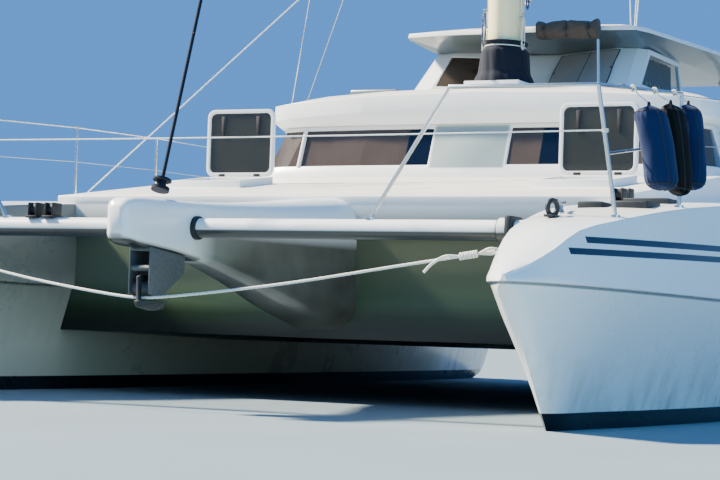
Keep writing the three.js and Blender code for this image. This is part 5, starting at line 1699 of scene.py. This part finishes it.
def shapeCushion(name, low, high, crown, flatFoot=True):
    # a crowned slab whose sides draw in between the corners
    inset = Vector((pad["narrow"], pad["narrow"], 0))
    low, high = Vector(low) + inset, Vector(high) - inset
    size = high - low
    thin = min(range(3), key=lambda k: size[k])
    long = [k for k in range(3) if k != thin]
    piece = block(name, low, high)
    fewest, most = pad["cells"]
    cuts = max(fewest, min(most, int(max(size) / pad["cell"])))
    editAll(piece, lambda: bpy.ops.mesh.subdivide(number_cuts=cuts))
    for vertex in piece.data.vertices:
        u = [(vertex.co[k] - low[k]) / size[k] * 2 - 1 for k in range(3)]
        fall = [max(0.0, 1 - abs(v) ** 2.6) for v in u]
        vertex.co[thin] += crown * fall[long[0]] * fall[long[1]] * u[thin]
        for k, other in (long, long[::-1]):
            if abs(u[k]) > 0.98:
                vertex.co[k] -= math.copysign(pad["drawIn"] * fall[other], u[k])
    puff(piece)
    if flatFoot:
        for vertex in piece.data.vertices:
            vertex.co.z = max(vertex.co.z, low.z)
    return smooth(piece, 60)


def welt(piece, low, high):
    # a piped seam along the widest line of the pad
    tree = KDTree(len(piece.data.vertices))
    for k, vertex in enumerate(piece.data.vertices):
        tree.insert(vertex.co, k)
    tree.balance()
    low, high = Vector(low), Vector(high)
    thin = min(range(3), key=lambda k: high[k] - low[k])
    p, q = [k for k in range(3) if k != thin]
    corners = []
    for a, b in ((low[p], low[q]), (high[p], low[q]), (high[p], high[q]), (low[p], high[q])):
        corner = [0.0, 0.0, 0.0]
        corner[p], corner[q], corner[thin] = a, b, low[thin] + (high[thin] - low[thin]) * pad["weltAt"]
        corners.append(Vector(corner))
    points = []
    for start, end in zip(corners, corners[1:] + corners[:1]):
        for k in range(pad["weltSteps"]):
            point = start.lerp(end, k / pad["weltSteps"])
            spot = tree.find(point)[0].copy()
            spot[thin] = point[thin]
            points.append(spot)
    return tube("welt", points, pad["welt"], 8, closed=True)


def makeCushion(name, low, high, crown, flatFoot=True):
    piece = shapeCushion(name, low, high, crown, flatFoot)
    settle(piece, "cushion")
    settle(welt(piece, low, high), "navy").name = name + "_piping"


def makeBenches():
    # one bench cushion is made and the others are copies of it
    step = (cockpit["foreX"] - cockpit["backX"]) / cockpit["each"]
    wide, thick = cockpit["cushion"]
    low = Vector((cockpit["backX"] + cockpit["cushionIn"], cockpit["inboardY"], cockpit["benchZ"] + 0.002))
    high = low + Vector((step - cockpit["cushionGap"], wide, thick))
    model = shapeCushion("bench_cushion", low, high, pad["crown"])
    seam = welt(model, low, high)
    sources = [(model, "bench_cushion", "cushion"), (seam, "bench_piping", "navy")]
    for side, sign in sides:
        for k in range(cockpit["each"]):
            for source, name, look in sources:
                piece = bpy.data.objects.new("%s_%d_%s" % (name, k, side), source.data.copy())
                bpy.context.scene.collection.objects.link(piece)
                across = 0 if sign > 0 else -2 * cockpit["benchY"]
                piece.data.transform(Matrix.Translation((step * k, across, 0)))
                settle(piece, look)
    bpy.data.objects.remove(model)
    bpy.data.objects.remove(seam)


def makeCockpitGear():
    for side, sign in sides:
        for kind in ("primary", "secondary"):
            x, radius = cockpit[kind]
            makeWinch(
                kind + "_winch_" + side, (x, sign * cockpit["winchY"], cockpit["deckZ"]), (0, 0, 1), radius
            )
        (x0, x1), z = cockpit["jammerX"], cockpit["deckZ"]
        parts = []
        for k in (-1, 0, 1):
            y = sign * cockpit["jammerY"]
            low = (x0, y - 0.02 + cockpit["jammerStep"] * k, z)
            high = (x1, y + 0.018 + cockpit["jammerStep"] * k, z + cockpit["jammerTall"])
            parts.append(block("jammer", low, high, 0.008))
        fit("jammers_" + side, parts, "black")
    settle(block("cockpit_table", *cockpit["table"], 0.012, 3), "teak")
    leg = lathe("table_leg", cockpit["leg"], (*cockpit["legAt"], cockpit["soleZ"] + 0.001))
    settle(leg, "alloy")
    low, high = cockpit["sole"]
    sole = block(
        "cockpit_sole", (*low, cockpit["soleZ"]), (*high, cockpit["soleZ"] + cockpit["plank"]), 0.002
    )
    settle(sole, "teak")


# Helm: instruments, a throttle and a compass on the console, and a seat behind the wheel
helm = dict(
    panel=((-2.338, -1.4, 2.02), (-2.322, -0.9, 2.2)), dialY=-1.32, dialStep=0.17, dialZ=2.11, dial=0.062,
    face=0.05, dialX=(-2.352, -2.33), faceX=(-2.356, -2.351), compassAt=(-2.16, -1.15, 2.33),
    compass=[(0, 0), (0.085, 0), (0.088, 0.02), (0.075, 0.04), (0.055, 0.07), (0.02, 0.085), (0, 0.087)],
    boss=((-2.12, -0.852, 2.15), (-2.12, -0.80, 2.15), 0.045),
    arm=((-2.12, -0.812, 2.15), (-2.16, -0.80, 2.30), 0.009), knob=((-2.165, -0.8, 2.315), 0.022),
    seat=((-3.2, -1.42, 1.918), (-2.83, -0.88, 2.0)), back=((-3.28, -1.42, 2.08), (-3.205, -0.88, 2.42)),
    backCrown=0.012,
    frame=[(-3.235, -1.4, 2.4), (-3.235, -1.4, 1.98), (-3.05, -1.36, 1.9), (-3.05, -1.36, 1.572)],
    frameApart=0.46, bar=((-3.05, -1.36, 1.905), (-3.05, -0.9, 1.905), 0.012),
    foot=((-3.05, -0.9, 1.153), (-3.05, -0.9, 1.62), 0.014), frameBend=0.06, frameTube=0.014,
)


def makeHelm():
    rows = [helm["dialY"] + helm["dialStep"] * k for k in range(3)]

    def discs(name, span, radius, bevel):
        return [rod(name, *[(x, y, helm["dialZ"]) for x in span], radius, 28, bevel=bevel) for y in rows]

    dials = [
        block("helm_panel", *helm["panel"], 0.006), *discs("helm_dial", helm["dialX"], helm["dial"], 0.005)
    ]
    fit("helm_instruments", dials, "black")
    faces = discs("dial_face", helm["faceX"], helm["face"], 0.0)
    fit("dial_faces", faces, "smoke", slot="glass_dark")
    bowl = lathe("helm_compass", helm["compass"], helm["compassAt"], (0, 0, 1), 28)
    settle(bowl, "black")
    lever = [
        rod("throttle_boss", *helm["boss"], 24, bevel=0.006), rod("throttle_arm", *helm["arm"], 12),
        ball("throttle_knob", *helm["knob"], rings=8),
    ]
    fit("throttle", lever, "steel")
    makeCushion("helm_seat", *helm["seat"], pad["crown"])
    makeCushion("helm_back", *helm["back"], helm["backCrown"], False)
    parts = []
    for dy in (0, helm["frameApart"]):
        line = roundedLine([(x, y + dy, z) for x, y, z in helm["frame"]], helm["frameBend"])
        parts.append(tube("seat_frame", line, helm["frameTube"], 10))
    parts += [rod("seat_bar", *helm["bar"], 10), rod("seat_foot", *helm["foot"], 10)]
    fit("helm_seat_frame", parts, "steel")


# Mainsheet from the boom's bails to an eye on the hard top's after edge
mainsheet = dict(
    x=-4.22, y=0.03, footZ=3.56, blockRise=0.02, falls=[(-1, -4.39), (0, -4.31), (1, -4.06)],
    spread=(0.036, 0.004), steps=12, rope=0.0065, pad=((-4.32, -0.03, 3.485), (-4.12, 0.09, 3.51)), eyeZ=3.52,
    eye=(0.018, 0.005),
)


def makeSheet():
    x, y, rise = mainsheet["x"], mainsheet["y"], mainsheet["blockRise"]
    low, high = Vector((x, y, mainsheet["footZ"])), Vector((x, y, boat["boomZ"] - boomGear["drop"]))
    makeBlock("sheet_block_low", low + Vector((0, 0, rise)))
    lead = [
        block("sheet_pad", *mainsheet["pad"], 0.006),
        ring("sheet_eye", (x, y, mainsheet["eyeZ"]), (1, 0, 0), *mainsheet["eye"], 16, 8),
    ]
    fit("sheet_lead", lead, "steel")
    along, across = mainsheet["spread"]
    steps = mainsheet["steps"]
    falls = []
    for k, headX in mainsheet["falls"]:
        foot, head = low + Vector((along * k, across * k, rise)), Vector((headX, y, high.z))
        falls.append(
            tube("sheet_fall", [foot.lerp(head, j / steps) for j in range(steps + 1)], mainsheet["rope"], 8)
        )
    # blend works on a mesh with no parent, so this piece rides no body
    sheet = joined("mainsheet", falls)
    sheet.data.materials.clear()
    sheet.data.materials.append(finish["rope"])
    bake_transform(sheet, "boat", "boom_body", start=low, end=high)


makeBenches()
makeCockpitGear()
makeHelm()
makeSheet()
print("cockpit fitted")


# Hull sides: portlights, rubbing strakes and the lower lifeline
portlight = dict(
    places=[(2.35, 1.36), (0.9, 1.38), (-0.6, 1.38), (-2.2, 1.38)], long=0.52, tall=0.15, steps=36, rows=5,
    rimOut=0.004, rimIn=-0.0048, rim=0.006, pane=0.002,
)
topside = dict(
    strakeX=-4.9, strakeStep=0.25, strakeCount=30, strakeIn=0.004, strakeDown=0.035, strake=0.011,
    posts=[
        (4.18, 3.18), (2.9, 3.283), (1.5, 3.33), (0.1, 3.345), (-1.5, 3.345), (-3.1, 3.34), (-4.6, 3.33),
        (-4.95, 3.3),
    ],
    lineIn=0.012, lineUp=0.40, line=0.003,
)


def sideAt(x, z):
    # the hull's half-breadth at a height on its topside
    section = halfSection(boat["bowX"] - x)
    rising = [p for p in section if p[0] > 0.05]
    for (h0, z0), (h1, z1) in zip(rising, rising[1:]):
        if z0 <= z <= z1:
            return h0 + (h1 - h0) * (z - z0) / max(z1 - z0, 1e-6)
    return section[-6][0]


def makePortlight(name, sign, x, z):
    long, tall, steps, rows = [portlight[key] for key in ("long", "tall", "steps", "rows")]

    def outline(grow, push):
        points = []
        for k in range(steps):
            a = 2 * math.pi * k / steps
            c, s = math.cos(a), math.sin(a)
            px = x + math.copysign(abs(c) ** 0.55, c) * (long / 2 + grow)
            pz = z + math.copysign(abs(s) ** 0.8, s) * (tall / 2 + grow)
            points.append((px, sign * (boat["hullY"] + sideAt(px, pz) + push), pz))
        return points

    rim = tube(
        name + "_rim", outline(portlight["rimOut"], portlight["rimIn"]), portlight["rim"], 8, closed=True
    )
    settle(rim, "steel")
    edge = outline(0, 0)

    def place(i, j):
        t = i / rows
        px, _, pz = edge[j % steps]
        px, pz = x + (px - x) * t, z + (pz - z) * t
        return (px, sign * (boat["hullY"] + sideAt(px, pz)), pz)

    pane = thicken(wrapSheet(name + "_pane", rows, steps, place, fillEnds=False), portlight["pane"])
    settle(smooth(pane, 40), "smoke", slot="glass_dark")


def makeStrake(side, sign):
    line = []
    for k in range(topside["strakeCount"]):
        x = topside["strakeX"] + topside["strakeStep"] * k
        *_, hDeck, zDeck, _ = readRow(hullForm["sections"], boat["bowX"] - x)
        line.append((x, sign * (boat["hullY"] + hDeck - topside["strakeIn"]), zDeck - topside["strakeDown"]))
    settle(tube("toe_strake_" + side, line, topside["strake"], 8), "alloy")


# Sterns: step pads, a swim ladder folded against the lowest step, and a handrail
stern = dict(
    steps=[(-5.2, 1.25), (-5.6, 0.85), (-5.98, 0.45)], padHalf=0.36, padEdge=0.1, padLong=0.15,
    padZ=(-0.002, 0.006), rail=[(-6.02, 0.458), (-6.05, 0.5), (-5.86, 0.84)], railHalf=0.17, railBend=0.03,
    tube=0.0125, rungAt=(-6.045, 0.51), rungStep=(0.06, 0.105), rungs=4, rung=0.011,
    hand=[(-5.02, 3.2, 1.66), (-5.02, 3.2, 1.95), (-5.7, 3.17, 1.2), (-5.7, 3.17, 0.855)], handBend=0.12,
)


def makeStern(side, sign):
    y = sign * boat["hullY"]
    foot, head = stern["padZ"]
    for k, (x, z) in enumerate(stern["steps"]):
        chine = readRow(hullForm["sections"], boat["bowX"] - x)[6]
        half, long = min(stern["padHalf"], chine - stern["padEdge"]), stern["padLong"]
        low, high = (x - long, y - half, z + foot), (x + long, y + half, z + head)
        settle(block("step_pad_%d_%s" % (k, side), low, high, 0.003), "teak")
    wide = stern["railHalf"]
    parts = []
    for s in (-1, 1):
        line = roundedLine([(x, y + s * wide, z) for x, z in stern["rail"]], stern["railBend"])
        parts.append(tube("ladder_rail", line, stern["tube"], 10))
    (rungX, rungZ), (xStep, zStep) = stern["rungAt"], stern["rungStep"]
    for k in range(stern["rungs"]):
        x, z = rungX + xStep * k, rungZ + zStep * k
        parts.append(rod("ladder_rung", (x, y - wide, z), (x, y + wide, z), stern["rung"], 10))
    fit("swim_ladder_" + side, parts, "steel")
    line = roundedLine([(x, sign * out, z) for x, out, z in stern["hand"]], stern["handBend"])
    settle(tube("stern_handrail_" + side, line, stern["tube"], 10), "steel")


def makeLifeline(side, sign):
    # the lower wire, through the stanchions
    line = [
        (x, sign * (y - topside["lineIn"]), deckAt(x, y) + topside["lineUp"]) for x, y in topside["posts"]
    ]
    settle(tube("lower_lifeline_" + side, line, topside["line"], 6), "wire")


for side, sign in sides:
    for k, (x, z) in enumerate(portlight["places"]):
        makePortlight("portlight_%d_%s" % (k, side), sign, x, z)
    makeStrake(side, sign)
    makeStern(side, sign)
    makeLifeline(side, sign)
print("sides and sterns fitted")


# Canvas round the doghouse: a cover on the port screen
screen = dict(
    out=Vector((0.647, -0.285, 0.708)), y=(0.185, 0.9), z=(2.86, 3.265), cells=(40, 24), lift=0.014,
    cloth=0.003, binding=0.005, seamAt=0.52, seam=0.003, stud=0.009,
)


def screenAt(y, z):
    # the raked screen folds back round the mast
    up = (z - 2.66) / 0.64
    return Vector((-0.97 - 0.7 * up + 0.33 * (y - 0.16) / (0.75 - 0.08 * up), y, z))


def coverAt(u, v):
    (y0, y1), (z0, z1) = screen["y"], screen["z"]
    slack = 0.013 * math.sin(math.pi * u) * math.sin(math.pi * v)
    slack = slack + 0.0035 * math.sin(11 * u + 5 * v) + 0.003 * math.sin(7 * u - 9 * v)
    sag = 0.012 * math.sin(math.pi * 3 * u) ** 2 * (1 - v)
    return screenAt(y0 + (y1 - y0) * u, z0 + (z1 - z0) * v - sag) + screen["out"] * (screen["lift"] + slack)


def makeScreenCover():
    out, (across, up) = screen["out"], screen["cells"]
    cover = wrapSheet("screen_cover", across, up, lambda i, j: coverAt(i / across, j / up), fillEnds=False)
    settle(smooth(thicken(cover, screen["cloth"]), 50), "grey")
    rim = [(k / 20, 0) for k in range(21)] + [(1, k / 12) for k in range(1, 13)]
    rim += [(1 - k / 20, 1) for k in range(1, 21)] + [(0, 1 - k / 12) for k in range(1, 12)]
    seam = [coverAt(screen["seamAt"], k / 16) + out * 0.002 for k in range(17)]
    parts = [
        tube("cover_binding", [coverAt(u, v) for u, v in rim], screen["binding"], 6, closed=True),
        tube("cover_seam", seam, screen["seam"], 6),
    ]
    studs = [(k / 6, 0.03) for k in range(1, 6)] + [(0.02, 0.5), (0.98, 0.5)]
    parts += [ball("cover_stud", coverAt(u, v) + out * 0.004, screen["stud"], rings=6) for u, v in studs]
    fit("cover_trim", parts, "dark")


# An awning rolled up and lashed along the lip of the hard top
awning = dict(
    x=-0.764, z=3.405, y=(0.25, 0.86), radius=0.088, straps=(0.14, 0.5, 0.86), along=48, around=40,
    endPart=0.25, strap=0.006, buckleX=(0.075, 0.088), buckleHalf=0.014, buckleZ=(-0.02, 0.014),
)


def makeAwning():
    x, z, (y0, y1) = awning["x"], awning["z"], awning["y"]
    along, around = awning["along"], awning["around"]

    def radiusAt(t, a):
        nip = sum(math.exp(-((t - s) / 0.035) ** 2) for s in awning["straps"])
        lump = 0.05 * math.sin(3 * a + 9 * t) + 0.035 * math.sin(5 * a - 17 * t) + 0.03 * math.sin(26 * t + a)
        spiral = 0.10 * ((a / (2 * math.pi)) % 1)
        return awning["radius"] * (0.93 + lump + spiral * 0.6 - 0.16 * nip)

    def place(i, j):
        t, a = i / along, 2 * math.pi * (j % around) / around
        r = radiusAt(t, a) * (awning["endPart"] if i in (0, along) else 1)
        sag = 0.012 * math.sin(math.pi * t * 2) ** 2
        return (x + r * math.cos(a), y0 + (y1 - y0) * t, z + r * math.sin(a) - sag)

    roll = wrapSheet("awning_roll", along, around, place)
    settle(smooth(roll, 50), "brown")
    (aft, fore), (foot, head), half = awning["buckleX"], awning["buckleZ"], awning["buckleHalf"]
    parts = []
    for t in awning["straps"]:
        y = y0 + (y1 - y0) * t
        line = [Vector(place(round(t * along), j)) for j in range(0, around, 2)]
        parts.append(tube("awning_strap", line, awning["strap"], 6, closed=True))
        parts.append(
            block("awning_buckle", (x + aft, y - half, z + foot), (x + fore, y + half, z + head), 0.003)
        )
    fit("awning_straps", parts, "dark")


# Curtains inside the side windows: a dark drop, which stands in as painted shade for the shade inside the
# doghouse, with a cream roll at its foot
curtain = dict(
    x=-2.42, long=1.02, z=2.90, tall=0.36, cells=(50, 8), lean=0.28, y=1.062, taper=0.08, cloth=0.003,
    railX=(-2.4, -1.42), railBack=0.12, railZ=3.272, rail=0.008,
    rollX=-2.4, rollLong=0.98, rollY=0.965, rollZ=3.0, roll=0.05, rollCells=(36, 24), endPart=0.3,
)


def makeCurtain(side, sign):
    across, up = curtain["cells"]

    def hang(i, j):
        x, z = curtain["x"] + curtain["long"] * i / across, curtain["z"] + curtain["tall"] * j / up
        y = (
            curtain["y"] - curtain["taper"] * (z - 2.66) / 0.64
            + 0.012 * math.sin(x * 46) + 0.004 * math.sin(x * 19)
        )
        return (x - curtain["lean"] * (z - curtain["z"]), sign * y, z)

    # the dark drop: painted shade inside the doghouse
    drop = wrapSheet("curtain_" + side, across, up, hang, fillEnds=False)
    settle(smooth(thicken(drop, curtain["cloth"]), 50), "brown")
    y = sign * (curtain["y"] - curtain["taper"])
    ends = [Vector((x - curtain["railBack"], y, curtain["railZ"])) for x in curtain["railX"]]
    settle(rod("curtain_rail_" + side, *ends, curtain["rail"], 10), "steel")
    along, around = curtain["rollCells"]

    def wind(i, j):
        t, a = i / along, 2 * math.pi * (j % around) / around
        swell = 1 + 0.08 * math.sin(2 * a + 21 * t) + 0.05 * math.sin(50 * t)
        r = curtain["roll"] * (curtain["endPart"] if i in (0, along) else swell)
        z = curtain["rollZ"] + r * math.sin(a) + 0.006 * math.sin(24 * t)
        return (curtain["rollX"] + curtain["rollLong"] * t, sign * curtain["rollY"] + r * math.cos(a), z)

    fold = settle(smooth(wrapSheet("curtain_roll_" + side, along, around, wind), 50), "cream")


# A slack safety line across the bows, made fast to both pulpits
safety = dict(
    x=5.098, y=2.982, z=1.845, sag=0.014, steps=24, rope=0.005, turn=(0.019, 0.0045), turnsAt=(-0.008, 0.004)
)


def makeSafetyLine():
    start, end = [Vector((safety["x"], s * safety["y"], safety["z"])) for s in (-1, 1)]
    steps = safety["steps"]
    line = []
    for k in range(steps + 1):
        line.append(
            start.lerp(end, k / steps) - Vector((0, 0, safety["sag"] * math.sin(math.pi * k / steps)))
        )
    turns = []
    for place in (start, end):
        for d in safety["turnsAt"]:
            turns.append(
                ring("line_turn", place + Vector((0, 0, d)), (0.15, 0.08, 1), *safety["turn"], 16, 8)
            )
    fit("bow_safety_line", [tube("safety_line", line, safety["rope"], 8), *turns], "rope")


makeScreenCover()
makeAwning()
for side, sign in sides:
    makeCurtain(side, sign)
makeSafetyLine()
print("canvas and safety line fitted")


# Every node wears the finish of its slot
looksOf = dict(
    glass_dark="glass", acrylic_smoke="smoke", stainless="rail", spar_cream="spar", canvas_navy="navy",
    canvas_taupe="taupe", rubber_black="blackSoft", vinyl_blue="blue", galvanised="galvanised",
    bronze="bronze", net_grey="net", gelcoat_white="white", antifouling_dark="bottom",
)
for name, node in frame["nodes"].items():
    node.data.materials.clear()
    node.data.materials.append(
        finish["vinyl" if name.startswith("doghouse_glass_side") else looksOf[slotOf[name]]]
    )
